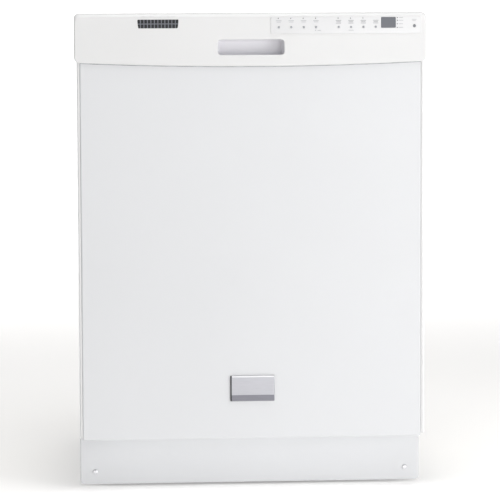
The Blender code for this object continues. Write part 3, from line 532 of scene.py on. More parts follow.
def nylon_coat(name, base):
    """Dipped nylon coat on rack wire: soft gloss, a little thicker and paler in slow patches."""
    made, tree, shader, place = finish(name, base, 0.34, IOR=1.53, Coat_Weight=0.15, Coat_Roughness=0.2)
    patches = noise(tree, place, 0.012, 3.0)
    tinted(tree, shader, patches, base, 0.05)
    rough(tree, shader, patches, 0.28, 0.42)
    relief(tree, shader, noise(tree, place, 0.003, 2.0), 0.0001, 0.2)
    return made


def machine_enamel(name, base):
    """Sprayed machine enamel on castings: dull, lumpy over the casting's 2 mm grain."""
    made, tree, shader, place = finish(name, base, 0.5)
    cast = noise(tree, place, 0.0022, 4.0)
    tinted(tree, shader, cast, base, 0.12)
    relief(tree, shader, cast, 0.00012, 0.5)
    rough(tree, shader, noise(tree, place, 0.02, 2.0), 0.42, 0.6)
    return made


def studio_paper(name, base):
    """Seamless studio paper lit from below: matt, with a tooth of 3 mm and more glow towards the back."""
    made, tree, shader, place = finish(name, base, 0.95)
    relief(tree, shader, noise(tree, place, 0.003, 2.0), 0.0001, 0.2)
    tinted(tree, shader, noise(tree, place, 0.6, 1.0), base, 0.004)
    shader.inputs["Emission Color"].default_value = rgba(base)
    depth = add(tree, "SeparateXYZ", links={"Vector": place}).outputs["Y"]
    values = {"From Min": 1.0, "From Max": 4.0, "To Min": 0.29, "To Max": 0.75}
    glow = add(tree, "MapRange", values, {"Value": depth}, interpolation_type="SMOOTHSTEP")
    tree.links.new(glow.outputs["Result"], shader.inputs["Emission Strength"])
    return made


# ------------------------------------------------------------------ front of the door


def inside(points, outline):
    """Which points are in an outline: a line from such a point towards +X crosses it an odd number of times."""
    here, following = outline[:, None], np.roll(outline, -1, axis=0)[:, None]
    crosses = (here[..., 1] > points[:, 1]) != (following[..., 1] > points[:, 1])
    rise = np.where(crosses, following[..., 1] - here[..., 1], 1.0)
    reach = here[..., 0] + (points[:, 1] - here[..., 1]) * (following[..., 0] - here[..., 0]) / rise
    return np.count_nonzero(crosses & (points[:, 0] < reach), axis=0) % 2 == 1


def filled(outer, holes, level, axis):
    """The flat region between an outer outline and holes: a constrained Delaunay triangulation of all outlines.

    A triangle whose middle is in a hole is dropped."""
    loops = [outer, *holes]
    edges, start = [], 0
    for loop in loops:
        edges += [(start + i, start + (i + 1) % len(loop)) for i in range(len(loop))]
        start += len(loop)
    flat = [Vector(p) for p in np.concatenate(loops).tolist()]
    places, _, triangles, *_ = delaunay_2d_cdt(flat, edges, [], 1, 1e-7, True)
    places = np.array([tuple(p) for p in places])
    middles = np.array([places[list(triangle)].mean(0) for triangle in triangles])
    gone = np.zeros(len(triangles), bool)
    for hole in holes:
        near = np.all((middles > hole.min(0)) & (middles < hole.max(0)), axis=1)
        gone[near] |= inside(middles[near], hole)
    return placed(places, level, axis), [list(triangles[i]) for i in np.flatnonzero(~gone)]


def plate(outer, holes, axis, low, high, edge, lip=0.0, steps=4):
    """A plate with holes: both faces filled flat, the outer wall and each hole's wall a grid of outlines.

    At the low face the outer edge is a quarter circle of radius `edge`; holes flare by `lip` in the same way."""
    turn = np.linspace(0, math.pi / 2, steps + 1)

    def wall(outline, radius, sign):
        deep = math.copysign(radius, high - low)
        rows = [(-sign * radius * (1 - math.sin(a)), low + deep * (1 - math.cos(a))) for a in turn]
        rows.append((0.0, high))
        return [placed(grown(outline, inset), level, axis) for inset, level in rows]

    pick = {"x": (1, 2), "y": (0, 2), "z": (0, 1)}[axis]
    walls = [wall(outer, edge, 1)] + [wall(hole, lip, -1) for hole in holes]
    parts = [grid(np.stack(rows)) for rows in walls]
    starts = [rows[0][:, pick] for rows in walls]
    parts.append(filled(starts[0], starts[1:], low, axis))
    parts.append(filled(outer, holes, high, axis))
    return parts


def circle(x, z, radius):
    """24 points of a circle."""
    angle = np.linspace(0, 2 * math.pi, 24, endpoint=False)
    return np.stack([x + radius * np.cos(angle), z + radius * np.sin(angle)], -1)


def button_places():
    """Each button node's name with its centre and radius, read from its own box."""
    places = {}
    for node in BOX:
        if node.startswith("button_"):
            low, high = BOX[node]
            places[node] = ((low[0] + high[0]) / 2, (low[2] + high[2]) / 2, (high[0] - low[0]) / 2 - 1.3 * MM)
    return places


class DISHWASHER_OT_panel(bpy.types.Operator):
    """Door skin with its two side trims, and the toe panel with its screws"""

    bl_idname = "dishwasher.panel"
    bl_label = "Door skin and toe panel"

    def execute(self, context):
        look, size, _, _ = settings()
        enamel = enamel_on_steel("baked_white_enamel", look.enamel)
        (x0, front, z0), (x1, back, z1) = BOX["door_panel"]
        trim = 5.2 * MM
        edge = size.edge
        outline = ring(x0 + trim, x1 - trim, z0, z1, 2 * MM, corner=4)
        build("door_skin", [pan(outline, "y", front, back, edge, 1.5 * MM)], enamel, DOOR, ["door_panel"])
        trim_finish = moulded_abs("moulded_door_trim", look.moulding)
        edge_finish = satin_aluminium("brushed_trim_edge", linear("E2E2E4"), (1.0, 1.0, 0.02))
        for label, side in SIDES.items():
            near, far = sorted((side * (x1 - trim + 0.1 * MM), side * (x1 - 1.5 * MM)))
            strip = ring(near, far, z0 + 4 * MM, z1 - 2 * MM, 1.7 * MM, corner=5, across=2, upright=30)
            build("door_trim_" + label, [slab(strip, "y", front + 0.6 * MM, back, 1.0 * MM)], trim_finish, DOOR)
            near, far = sorted((side * (x1 - 1.4 * MM), side * x1))
            strip = ring(near, far, z0 + 4.6 * MM, z1 - 2 * MM, 0.6 * MM, corner=4, across=2, upright=30)
            build("trim_edge_" + label, [slab(strip, "y", front + 2.0 * MM, back, 0.4 * MM)], edge_finish, DOOR)
        (x0, front, z0), (x1, back, z1) = BOX["toe_kick"]
        outline = ring(x0, x1, z0, z1, 6 * MM, corner=6)
        build("toe_panel", [pan(outline, "y", front, back, 2.2 * MM, 1.2 * MM)], enamel, CAB, ["toe_kick"])
        steel = brushed_stainless("turned_screw_steel", linear("E0E0E2"), (1.0, 1.0, 0.1), 0.42)
        for label in SIDES:
            node = "toe_kick_screw_" + label
            low, high = BOX[node]
            centre = (low + high) / 2
            radius = (high[0] - low[0]) / 2
            build("toe_screw_" + label, screw(centre[0], centre[2], low[1], radius), steel, CAB, [node])
        return {"FINISHED"}


def pan(outline, axis, front, back, edge, thick):
    """A pressed pan open at the back: the outline goes round the edge's quarter circle, back, in and forward."""
    turn = np.linspace(0, math.pi / 2, 6)
    rows = [(-edge * (1 - math.sin(a)), front + edge * (1 - math.cos(a))) for a in turn]
    rows += [(0.0, back - thick / 2), (-thick / 2, back), (-thick, back - thick / 2)]
    rows += [(-thick, front + edge + thick), (-edge - thick, front + thick)]
    points = np.stack([placed(grown(outline, inset), level, axis) for inset, level in rows])
    return grid(points, cap_start=True, cap_end=True)


def screw(x, z, front, radius):
    """A pan head with a cross recess: a low dome cut flat, the recess a plus sign sunk from the flat."""
    flat = 0.60 * radius
    arm, half = 0.50 * radius, 0.14 * radius
    cross = np.array([(arm, half), (half, half), (half, arm), (-half, arm), (-half, half), (-arm, half)])
    cross = np.concatenate([cross, -cross]) + (x, z)
    top = circle(x, z, flat)
    dome = [
        placed(circle(x, z, flat + (radius - flat) * math.sin(t)), front + 2.2 * MM * (1 - math.cos(t)), "y")
        for t in np.linspace(0, math.pi / 2, 6)
    ]
    skirt = [placed(circle(x, z, wide), front + 3.0 * MM, "y") for wide in (radius, 0.5 * radius)]
    shank = [placed(circle(x, z, 0.5 * radius), front + 12 * MM, "y")]
    middle = np.array((x, z))
    sunk = [placed(cross, front, "y"), placed(middle + (cross - middle) * 0.8, front + 1.1 * MM, "y")]
    return [
        grid(np.stack(dome + skirt + shank), cap_end=True),
        filled(top, [cross], front, "y"),
        grid(np.stack(sunk), cap_end=True),
    ]


def console_shell(size):
    """The console: its face filled round the openings, a quarter circle at the edge, walls that run back.

    The lower lip is only as deep as the wall, and the depth grows to the full side wall round each lower corner."""
    (x0, front, z0), (x1, back, z1) = BOX["console"]
    end = z0 + CONSOLE_BOW
    outline = ring(x0, x1, end, z1, 8 * MM, corner=8, across=48, upright=10, bow=CONSOLE_BOW)
    height = np.clip((outline[:, 1] - end) / (8 * MM), 0, 1)
    upper = np.clip((outline[:, 1] - (z1 - 12 * MM)) / (12 * MM), 0, 1)
    radius = size.console_low + (size.console_top - size.console_low) * upper
    depth = size.wall + size.console_low + (back - front - size.wall - size.console_low) * height**2
    turn = np.linspace(0, math.pi / 2, 8)
    rows = rounded(outline, radius, front, turn)
    rim = np.maximum(front + depth, front + radius + 0.2 * MM)
    rows.append(placed(outline, rim, "y"))
    rows.append(placed(grown(outline, -size.wall), rim, "y"))
    inner = front + size.wall
    reach = np.minimum(rim - 0.1 * MM, inner + radius)
    rows.append(placed(grown(outline, -size.wall), reach, "y"))
    rows.append(placed(grown(outline, -radius - size.wall), inner, "y"))
    holes, flares = console_holes(size)
    parts = [grid(np.stack(rows))]
    fronts, backs = [], []
    for hole, flare in zip(holes, flares):
        walls = rounded(hole, flare, front, turn[::2], out=1)
        walls.append(placed(hole, front + flare, "y"))
        walls.append(placed(hole, inner, "y"))
        parts.append(grid(np.stack(walls)))
        fronts.append(walls[0][:, [0, 2]])
        backs.append(hole)
    parts.append(filled(rows[0][:, [0, 2]], fronts, front, "y"))
    parts.append(filled(rows[-1][:, [0, 2]], backs, inner, "y"))
    return parts


def console_holes(size):
    """Outlines of the handle's opening, the vent's and the buttons', with the radius round each."""
    (x0, _, z0), (x1, _, z1) = BOX["handle_cup"]
    pocket = ring(x0 + 3.6 * MM, x1 - 3.6 * MM, z0 + 3.4 * MM, z1 - 3.6 * MM, 6 * MM, corner=8, across=30, upright=5)
    lean = (z1 - pocket[:, 1]) / (z1 - z0)
    pocket[:, 0] *= 1 + 0.012 * lean
    (x0, _, z0), (x1, _, z1) = BOX["vent_grille"]
    vent = ring(x0 + 0.8 * MM, x1 - 0.8 * MM, z0 + 0.8 * MM, z1 - 0.8 * MM, 1.2 * MM, across=16, upright=6)
    lean = (z1 - vent[:, 1]) / (z1 - z0)
    vent[:, 0] += ((x0 + x1) / 2 - vent[:, 0]) * 0.05 * lean**2
    holes, flares = [pocket, vent], [size.pocket_rim, 0.5 * MM]
    for x, z, radius in button_places().values():
        holes.append(circle(x, z, radius + FIT_GAP))
        flares.append(0.1 * MM)
    return holes, flares


class DISHWASHER_OT_console(bpy.types.Operator):
    """Console shell with the recessed handle and the vent"""

    bl_idname = "dishwasher.console"
    bl_label = "Console, handle and vent"

    def execute(self, context):
        look, size, _, _ = settings()
        shell = moulded_abs("moulded_abs_console", look.moulding, 0.50)
        build("console_shell", console_shell(size), shell, DOOR, ["console"])
        self.handle(look)
        self.vent(shell)
        self.seam()
        return {"FINISHED"}

    def handle(self, look):
        """A bowl: the opening's outline shrinks along an ellipse as it goes back, with a wall behind it."""
        (x0, front, z0), (x1, back, z1) = BOX["handle_cup"]
        rim = ring(x0 + 1.2 * MM, x1 - 1.2 * MM, z0 + 1.2 * MM, z1 - 1.2 * MM, 7 * MM, corner=8, across=30, upright=6)
        lean = (z1 - rim[:, 1]) / (z1 - z0)
        share = np.linspace(0, 1, 14)
        inner, outer = [], []
        for t in share:
            inset = 9.0 * MM * (1 - math.sqrt(1 - (0.98 * t) ** 2))
            level = front + 1.4 * MM + (back - front - 3.4 * MM) * t
            sink = level - 4.5 * MM * t * np.clip(1 - lean, 0, 1)
            inner.append(placed(grown(rim, -inset), sink, "y"))
            outer.append(placed(grown(rim, 0.9 * MM - inset), np.minimum(sink + 1.6 * MM, back), "y"))
        points = np.stack(outer[::-1] + inner)
        cup = moulded_abs("moulded_abs_handle_cup", look.grip, 0.40)
        build("handle_bowl", [grid(points, cap_start=True, cap_end=True)], cup, DOOR, ["handle_cup"], sharp=60)

    def seam(self):
        """A grey strip in the seam under the console's lip paints the shadow the lip casts on the door; it bows by
        the lip's own parabola.
        """
        (x0, _, z0), (x1, _, _) = BOX["console"]
        x = np.linspace(x0 + 9.5 * MM, x1 - 9.5 * MM, 49)
        low = z0 + CONSOLE_BOW - CONSOLE_BOW * (1 - (2 * x / (x1 - x0)) ** 2)
        outline = np.concatenate([np.stack([x, low - 1.3 * MM], -1), np.stack([x, low + 1.0 * MM], -1)[::-1]])
        level = BOX["door_panel"][0][1]
        # Painted shadow: the grey strip stands in for the lip's shadow, not for a gasket.
        strip = epdm_rubber("painted_shadow_seam_strip", linear("9D9EA3"))
        build("console_seam_painted_shadow", [slab(outline, "y", level - 0.3 * MM, level + 1.0 * MM, 0.2 * MM, 2)], strip, DOOR)

    def vent(self, shell):
        """The grille is one plate with twelve by two openings; a near-black plate behind it paints the shade inside
        the vent.
        """
        (x0, front, z0), (x1, back, z1) = BOX["vent_grille"]
        bar, columns = 1.35 * MM, 12
        outline = ring(x0, x1, z0, z1, 0.6 * MM, corner=3)
        wide = (x1 - x0 - 1.6 * MM - (columns - 1) * bar) / columns
        tall = (z1 - z0 - 1.6 * MM - bar) / 2
        cells, ribs = [], []
        for i in range(columns):
            left = x0 + 0.8 * MM + i * (wide + bar)
            for j in range(2):
                low = z0 + 0.8 * MM + j * (tall + bar)
                cells.append(ring(left, left + wide, low, low + tall, 0.5 * MM, corner=3, across=1, upright=1))
            x = left + wide + bar / 2
            path = [(x, FRONT + 0.5 * MM, z) for z in np.linspace(z1, z1 + 5.4 * MM, 4)]
            ribs.append(wire(path, 0.7 * MM, 8))
        grille = moulded_abs("moulded_grey_grille", linear("74767E"), 0.4)
        parts = plate(outline, cells, "y", front + 1.2 * MM, back - 0.7 * MM, 0.2 * MM, 0.1 * MM, 2)
        build("vent_grille_plate", parts, grille, DOOR, ["vent_grille"])
        # Painted shade: the near-black plate stands in for the shade in the vent's cavity.
        dark = glass_filled_nylon("painted_shade_vent_backing", linear("101217"))
        build("vent_painted_shade", [slab(outline, "y", back - 0.6 * MM, back, 0.2 * MM, 2)], dark, DOOR)
        build("vent_ribs", ribs[:-1], shell, DOOR)


class DISHWASHER_OT_controls(bpy.types.Operator):
    """Control film with its marks, lamps, display window and buttons, and the door's plain plate"""

    bl_idname = "dishwasher.controls"
    bl_label = "Controls and plate"

    def execute(self, context):
        look, _, _, _ = settings()
        (x0, front, z0), (x1, back, z1) = BOX["control_overlay"]
        lens_low, lens_high = BOX["display_lens"]
        window = ring(
            lens_low[0] - FIT_GAP, lens_high[0] + FIT_GAP, lens_low[2] - FIT_GAP, lens_high[2] + FIT_GAP, 1 * MM, 3
        )
        holes = [window] + [circle(x, z, radius + FIT_GAP) for x, z, radius in button_places().values()]
        film = control_film("hard_coated_polyester_film", look.film)
        outline = ring(x0, x1, z0, z1 - 5.5 * MM, 2.5 * MM, corner=5)
        parts = plate(outline, holes, "y", front + 0.15 * MM, back, 0.12 * MM, 0.05 * MM, 2)
        build("control_film", parts, film, DOOR, ["control_overlay"])
        middle = (lens_low + lens_high) / 2
        pane = ring(lens_low[0], lens_high[0], lens_low[2], lens_high[2], 1 * MM, corner=4)
        # The window's colour, dark at the upper left and paler to the lower right, is a painted reflection.
        glass = smoked_acrylic_painted_reflection("smoked_acrylic_window", linear("26282C"), linear("6C6E74"), middle, 0.026)
        parts = [slab(pane, "y", lens_low[1], lens_high[1], 0.3 * MM, 3)]
        build("display_window", parts, glass, DOOR, ["display_lens"])
        self.buttons()
        self.marks(look)
        self.badge(look)
        return {"FINISHED"}

    def buttons(self):
        """Each cap is a shallow dome on a collar: a profile spun about the button's own axis."""
        cap_finish = moulded_abs("moulded_button_grey", linear("9FA1A7"), 0.32)
        start_finish = moulded_abs("moulded_start_button", linear("77797F"), 0.32)
        for node, (x, z, radius) in button_places().items():
            low, high = BOX[node]
            rise = [(radius * math.sin(t), low[1] + 0.5 * MM * (1 - math.cos(t))) for t in np.linspace(0.05, 1.5, 8)]
            root, flange = high[1] - 1.6 * MM, radius + 1.2 * MM
            collar = [(radius, root), (flange, root), (flange, high[1])]
            parts = [lathe(rise + collar, "y", (x, 0, z), 28)]
            build(node + "_cap", parts, start_finish if node == "button_start" else cap_finish, node, [node])

    def marks(self, look):
        """Plain printed bars, each a plate a twentieth of a millimetre high, and the lamps' lenses."""
        level = BOX["control_overlay"][0][1] + 0.15 * MM

        def bars(places, name, finish_made):
            parts = []
            for x, z, wide, tall in places:
                outline = ring(x - wide / 2, x + wide / 2, z - tall / 2, z + tall / 2, 0.2 * MM, 3, 2, 1)
                parts.append(slab(outline, "y", level - 0.05 * MM, level + 0.02 * MM, 0.01 * MM, 2))
            build(name, parts, finish_made, DOOR)

        places = button_places()
        pale, dark, dots = [], [], []
        for group in ("cycle", "option"):
            for i in range(1, 5):
                x, z, _ = places[f"button_{group}_{i}"]
                target = pale if group == "cycle" else dark
                for k in range(2 if group == "cycle" else 3):
                    target.append((x - 0.2 * MM, z + (11.2 - 2.3 * k) * MM, (9.5, 7.6, 8.8)[k] * MM, 0.8 * MM))
                if (group, i) != ("option", 4):
                    dots.append((x - 1.0 * MM, z + 15.2 * MM))
        x, z, _ = places["button_cycle_4"]
        pale += [(x - 1.0 * MM, z - 5.6 * MM, 1.6 * MM, 1.2 * MM), (x + 5.4 * MM, z - 5.6 * MM, 6.0 * MM, 0.8 * MM)]
        x, z, _ = places["button_option_2"]
        pale += [(x, z - 5.6 * MM, 9.0 * MM, 0.8 * MM)]
        x, z, _ = places["button_start"]
        pale += [(x - 0.5 * MM, z + (11.0 - 2.4 * k) * MM, wide * MM, 0.8 * MM) for k, wide in enumerate((8.0, 6.0))]
        right = BOX["display_lens"][1][0]
        for high, wide in ((818.6, 7.5), (814.0, 8.5), (808.0, 7.0), (801.8, 8.0)):
            pale.append((right + 8.8 * MM, high * MM, wide * MM, 0.8 * MM))
            dots.append((right + 2.6 * MM, high * MM))
        bars(pale, "printed_marks_pale", screen_ink("screen_printed_pale_grey", linear("9A9CA1")))
        bars(dark, "printed_marks_dark", screen_ink("screen_printed_grey", look.ink))
        # The lamps' lenses grow paler towards the right across the console: a painted reflection.
        lamp = smoked_acrylic_painted_reflection("smoked_lamp_lens", linear("26282D"), linear("34363C"), (0, 0, 0.8), 0.5)
        domes = []
        for x, z in dots:
            rise = [(0.85 * MM * math.sin(t), level - 0.25 * MM * math.cos(t)) for t in np.linspace(0.1, 1.55, 5)]
            domes.append(lathe(rise + [(0.85 * MM, level + 0.1 * MM)], "y", (x, 0, z), 16))
        build("lamp_lenses", domes, lamp, DOOR)

    def badge(self, look):
        """A plain plate with a domed edge, a darker band along its foot, a painted highlight along its top and a
        painted shadow line down its left side.
        """
        (x0, front, z0), (x1, back, z1) = BOX["badge"]
        body_finish = satin_aluminium("satin_silver_plate", look.badge)
        outline = ring(x0, x1, z0, z1, 2 * MM, corner=6)
        build("badge_plate", [slab(outline, "y", front + 0.25 * MM, back, 0.7 * MM)], body_finish, DOOR, ["badge"])
        band_finish = satin_aluminium("satin_dark_band", linear("77777E"))
        band = ring(x0 + 2.6 * MM, x1 - 0.8 * MM, z0 + 0.7 * MM, z0 + 11.0 * MM, 0.8 * MM, corner=4)
        build("badge_band", [slab(band, "y", front, front + 0.6 * MM, 0.15 * MM, 3)], band_finish, DOOR)
        # A pale strip along the plate's top edge is a painted highlight where the top catches the light.
        bright = satin_aluminium("painted_highlight_plate_top", linear("D2D2D4"))
        highlight_strip = ring(x0 + 2.6 * MM, x1 - 0.8 * MM, z1 - 3.0 * MM, z1 - 0.7 * MM, 0.8 * MM, corner=4)
        build("badge_painted_highlight", [slab(highlight_strip, "y", front, front + 0.6 * MM, 0.15 * MM, 3)], bright, DOOR)
        # A near-black strip down the plate's left side is a painted shadow of the side turned away from the light.
        black = glass_filled_nylon("painted_shadow_plate_side", linear("15161A"))
        line = ring(x0 + 0.1 * MM, x0 + 2.4 * MM, z0 + 0.5 * MM, z1 - 0.5 * MM, 0.8 * MM, corner=3, across=2)
        build("badge_painted_shadow", [slab(line, "y", front, front + 0.6 * MM, 0.15 * MM, 3)], black, DOOR)


# ------------------------------------------------------------------ inside of the machine


def perforated(outline_box, axis, low, high, hole, gap, margin):
    """A plate from a (first, second) box with a grid of square openings: as many as fit inside its margin."""
    x0, x1, z0, z1 = outline_box
    count = [max(1, int((b - a - 2 * margin + gap) / (hole + gap))) for a, b in ((x0, x1), (z0, z1))]
    starts = [
        (a + b) / 2 - (n * hole + (n - 1) * gap) / 2 for (a, b), n in zip(((x0, x1), (z0, z1)), count)
    ]
    holes = []
    for i in range(count[0]):
        for j in range(count[1]):
            left, low_side = starts[0] + i * (hole + gap), starts[1] + j * (hole + gap)
            holes.append(ring(left, left + hole, low_side, low_side + hole, 0.2 * hole, 1, 1, 1))
    outline = ring(x0, x1, z0, z1, 1.0 * MM, 2, 2, 2)
    return plate(outline, holes, axis, low, high, 0.2 * abs(high - low), 0.0, 2)


def blade(reach, waist, centre):
    """A spray arm's outline: two round ends joined by flanks that widen to the hub along a cosine."""
    tip = 14 * MM
    right = np.linspace(-math.pi / 2, math.pi / 2, 10)
    arc = np.stack([reach - tip + tip * np.cos(right), tip * np.sin(right)], -1)
    along = np.linspace(reach - tip, -(reach - tip), 25)[1:-1]
    wide = tip + (waist - tip) * np.cos(along / (reach - tip) * math.pi / 2) ** 2
    upper = np.stack([along, wide], -1)
    half = np.concatenate([arc, upper])
    return np.concatenate([half, -half]) + centre


def spray_arm(name, node, finish_made, jets):
    """Blade, hub and jets: the blade is a slab, the hub and each jet a spun profile."""
    low, high = BOX[node]
    centre = (low + high) / 2
    reach = (high[0] - low[0]) / 2
    top, bottom = high[2] - 6.0 * MM, low[2] + 1.6 * MM
    parts = [slab(blade(reach, 25 * MM, centre[:2]), "z", bottom, top, 3.2 * MM, 4)]
    rise = (high[2] - top) - 0.6 * MM
    hub = [(5 * MM, low[2]), (22 * MM, low[2]), (24 * MM, bottom), (24 * MM, top), (20 * MM, top + rise)]
    hub += [(11 * MM, high[2]), (5 * MM, high[2])]
    parts.append(lathe(hub, "z", (centre[0], centre[1], 0), 32, closed=True))
    for place in jets:
        for sign in (-1, 1):
            x, y = centre[0] + sign * place, centre[1] + sign * 5 * MM
            dome = [(1.4 * MM, top - 1 * MM), (4.4 * MM, top - 1 * MM)]
            dome += [(4.0 * MM, top + 1.2 * MM), (1.8 * MM, top + 1.8 * MM)]
            parts.append(lathe(dome, "z", (x, y, 0), 14, closed=True))
    build(name, parts, finish_made, node, [node])


class DISHWASHER_OT_tub(bpy.types.Operator):
    """Tub with its seal, felt wrap, rails and heating element"""

    bl_idname = "dishwasher.tub"
    bl_label = "Tub, seal and wrap"

    def execute(self, context):
        look, _, _, _ = settings()
        steel = brushed_stainless("brushed_stainless_tub", look.steel)
        build("tub_chamber", self.chamber(), steel, CAB, ["tub"])
        self.seal()
        self.wrap()
        self.rails(look)
        self.element()
        return {"FINISHED"}

    def chamber(self):
        """The chamber's section goes from the flange to the back, shrinking round a quarter circle at the back.

        One cell of the floor is left open for the sump, and four quads line the hole."""
        (x0, front, z0), (x1, back, z1) = BOX["tub"]
        sump_low, sump_high = BOX["sump"]
        thick, half, step, track = 3 * MM, x1 - 14 * MM, 221.5 * MM, 142.5 * MM
        ceiling, floor = z1 - 14 * MM, z0 + thick
        gap = 0.4 * MM
        hole = (sump_high[0] + gap, sump_low[1] - gap, sump_high[1] + gap)
        corners = [(step, floor), (step, track), (half, track), (half, ceiling), (-half, ceiling), (-half, track)]
        corners += [(-step, track), (-step, floor)]
        path = bent([(x, 0, z) for x, z in corners], 7 * MM, 5, closed=True)[:, [0, 2]]
        inner = np.concatenate([path, [(-hole[0], floor), (hole[0], floor)]])
        rear, turn = 9 * MM, np.linspace(0, math.pi / 2, 6)[1:]
        levels = [front + 1.0 * MM, front + 6 * MM, hole[1], hole[2], back - thick - rear]
        rows = [placed(inner, level, "y") for level in levels]
        rows[0] = placed(grown(inner, 1.0 * MM), front, "y")
        for a in turn:
            level = back - thick - rear + rear * math.sin(a)
            rows.append(placed(grown(inner, -rear * (1 - math.cos(a))), level, "y"))
        outer = grown(inner, thick - 0.4 * MM)
        skin = [placed(outer, level, "y") for level in (front + 4 * MM, front + 6 * MM, hole[1], hole[2])]
        skin += [placed(outer, back - rear, "y"), placed(grown(outer, -rear), back, "y")]
        rim = ring(x0, x1, z0, z1, 6 * MM, 5, 20, 20)
        parts, rims = [], []
        before_hole = 2
        for sheet, low in ((rows, floor), (skin, floor - thick + 0.4 * MM)):
            points, faces = grid(np.stack(sheet), cap_end=True)
            ends = {(before_hole + i) * len(inner) + len(inner) - j for i in (0, 1) for j in (1, 2)}
            parts.append((points, [face for face in faces if set(face) != ends]))
            beside = np.array([(-hole[0], hole[1]), (hole[0], hole[1]), (hole[0], hole[2]), (-hole[0], hole[2])])
            rims.append(placed(beside, low, "z"))
        parts.append(grid(np.stack(rims)))
        places = ((-1 * MM, front), (0, front + 1 * MM), (0, front + 4 * MM))
        flange = [placed(grown(rim, inset), level, "y") for inset, level in places]
        parts.append(grid(np.stack(flange)))
        parts.append(filled(flange[0][:, [0, 2]], [rows[0][:, [0, 2]]], front, "y"))
        parts.append(filled(flange[2][:, [0, 2]], [skin[0][:, [0, 2]]], front + 4 * MM, "y"))
        return parts

    def seal(self):
        """A bulb carried round three sides of the opening on a flat foot."""
        (_, front, z0), (x1, back, z1) = BOX["tub_gasket"]
        rubber = epdm_rubber("epdm_bulb_seal", linear("4A4B4D"))
        x, z = x1 - 2.3 * MM, z1 - 2.6 * MM
        corners = [(-x, 0, z0 + 0.5 * MM), (-x, 0, z), (x, 0, z), (x, 0, z0 + 0.5 * MM)]
        path = bent(corners, 14 * MM, 10)
        bulb = path + (0, (front + back) / 2 - 0.2 * MM, 0)
        parts = [wire(bulb, 2.1 * MM, 12)]
        for inset in (-0.9, 0.9):
            parts.append(wire(path * (1 + inset * MM / x, 1, 1) + (0, back - 0.7 * MM, inset * MM), 0.6 * MM, 6))
        build("door_seal", parts, rubber, CAB, ["tub_gasket"])

    def wrap(self):
        """The felt follows the tub's arch; stitching pulls it in along lines 75 mm apart, a sine's valleys."""
        (x0, front, z0), (x1, back, z1) = BOX["tub_blanket"]
        felt = needled_felt("needled_polyester_felt", linear("CFCCC2"))
        thick = 9.4 * MM
        arch = bent([(x0, 0, z0), (x0, 0, z1), (x1, 0, z1), (x1, 0, z0)], 22 * MM, 8)[:, [0, 2]]
        count = 150
        steps = np.concatenate([[0], np.cumsum(np.linalg.norm(np.diff(arch, axis=0), axis=1))])
        way = np.linspace(0, steps[-1], count)
        arch = np.stack([np.interp(way, steps, arch[:, i]) for i in range(2)], -1)
        along = np.gradient(arch, axis=0)
        along /= np.linalg.norm(along, axis=1)[:, None]
        inward = np.stack([along[:, 1], -along[:, 0]], -1)
        levels = np.linspace(front, back - thick, 64)

        def soft(u, v):
            swell = np.abs(np.sin(math.pi * u / 0.075)) ** 0.5 * np.abs(np.sin(math.pi * v / 0.075)) ** 0.5
            return 2.6 * MM * (1 - swell)

        rows = []
        for level in levels:
            near = min(1.0, (level - front) / (6 * MM))
            pull = soft(way, level - front) + 3 * MM * (1 - near)
            rows.append(placed(arch + inward * pull[:, None], level, "y"))
        under = [placed(arch + inward * thick, level, "y") for level in levels[::-1]]
        sides = np.concatenate([np.stack(rows), np.stack(under)])
        points, faces = grid(sides, wrap_rows=True, wrap_columns=False)
        for end in (0, count - 1):
            faces.append([row * count + end for row in range(len(sides))])
        wide, tall = 90, 110
        across = np.linspace(x0 + 3 * MM, x1 - 3 * MM, wide)
        up = np.linspace(z0, z1 - 3 * MM, tall)
        u, v = np.meshgrid(across, up)
        puff = back - soft(u - x0, v - z0)
        side = np.minimum(np.minimum(u - across[0], across[-1] - u), np.minimum(v - up[0], up[-1] - v))
        puff -= 5 * MM * (1 - np.clip(side / (8 * MM), 0, 1)) ** 2
        outside = np.stack([u, puff, v], -1)
        inside = np.stack([u, np.full_like(u, back - thick), v], -1)
        sheets = [grid(outside, wrap_columns=False), grid(inside, wrap_columns=False)]
        index = np.arange(wide * tall).reshape(tall, wide)
        edge = np.concatenate([index[0], index[1:, -1], index[-1, -2::-1], index[-2:0:-1, 0]])
        band = np.stack([outside.reshape(-1, 3)[edge], inside.reshape(-1, 3)[edge]])
        build_felt = build("felt_wrap", [(points, faces), *sheets, grid(band)], felt, CAB, ["tub_blanket"], sharp=50)

    def rails(self, look):
        """Each rail is a channel: its section, a C with round lips, carried from front to back."""
        steel = brushed_stainless("brushed_stainless_rail", look.steel, (1.0, 0.02, 1.0), 0.26)
        zinc = galvanised_sheet("galvanised_rail", linear("B6B8BA"))
        for label, side in SIDES.items():
            for node, finish_made in (("rail_fixed_" + label, zinc), ("rail_slide_" + label, steel)):
                (x0, y0, z0), (x1, y1, z1) = BOX[node]
                back, mouth = (x1, x0) if side > 0 else (x0, x1)
                wide = abs(x1 - x0) * np.sign(mouth - back)
                thick, lip = 1.1 * MM, 4.2 * MM
                section = [(back, z0), (mouth, z0), (mouth, z0 + lip), (mouth - 0.2 * wide, z0 + lip)]
                section += [(mouth - 0.2 * wide, z0 + thick), (back + 0.22 * wide, z0 + thick)]
                section += [(back + 0.22 * wide, z1 - thick), (mouth - 0.2 * wide, z1 - thick)]
                section += [(mouth - 0.2 * wide, z1 - lip), (mouth, z1 - lip), (mouth, z1), (back, z1)]
                outline = bent([(x, 0, z) for x, z in section], 0.35 * MM, 3, closed=True)[:, [0, 2]]
                rows = np.stack([placed(outline, level, "y") for level in (y0, y0 + 1 * MM, y1 - 1 * MM, y1)])
                parts = [grid(rows, cap_start=True, cap_end=True)]
                build(node + "_channel", parts, finish_made, node if "slide" in node else CAB, [node])

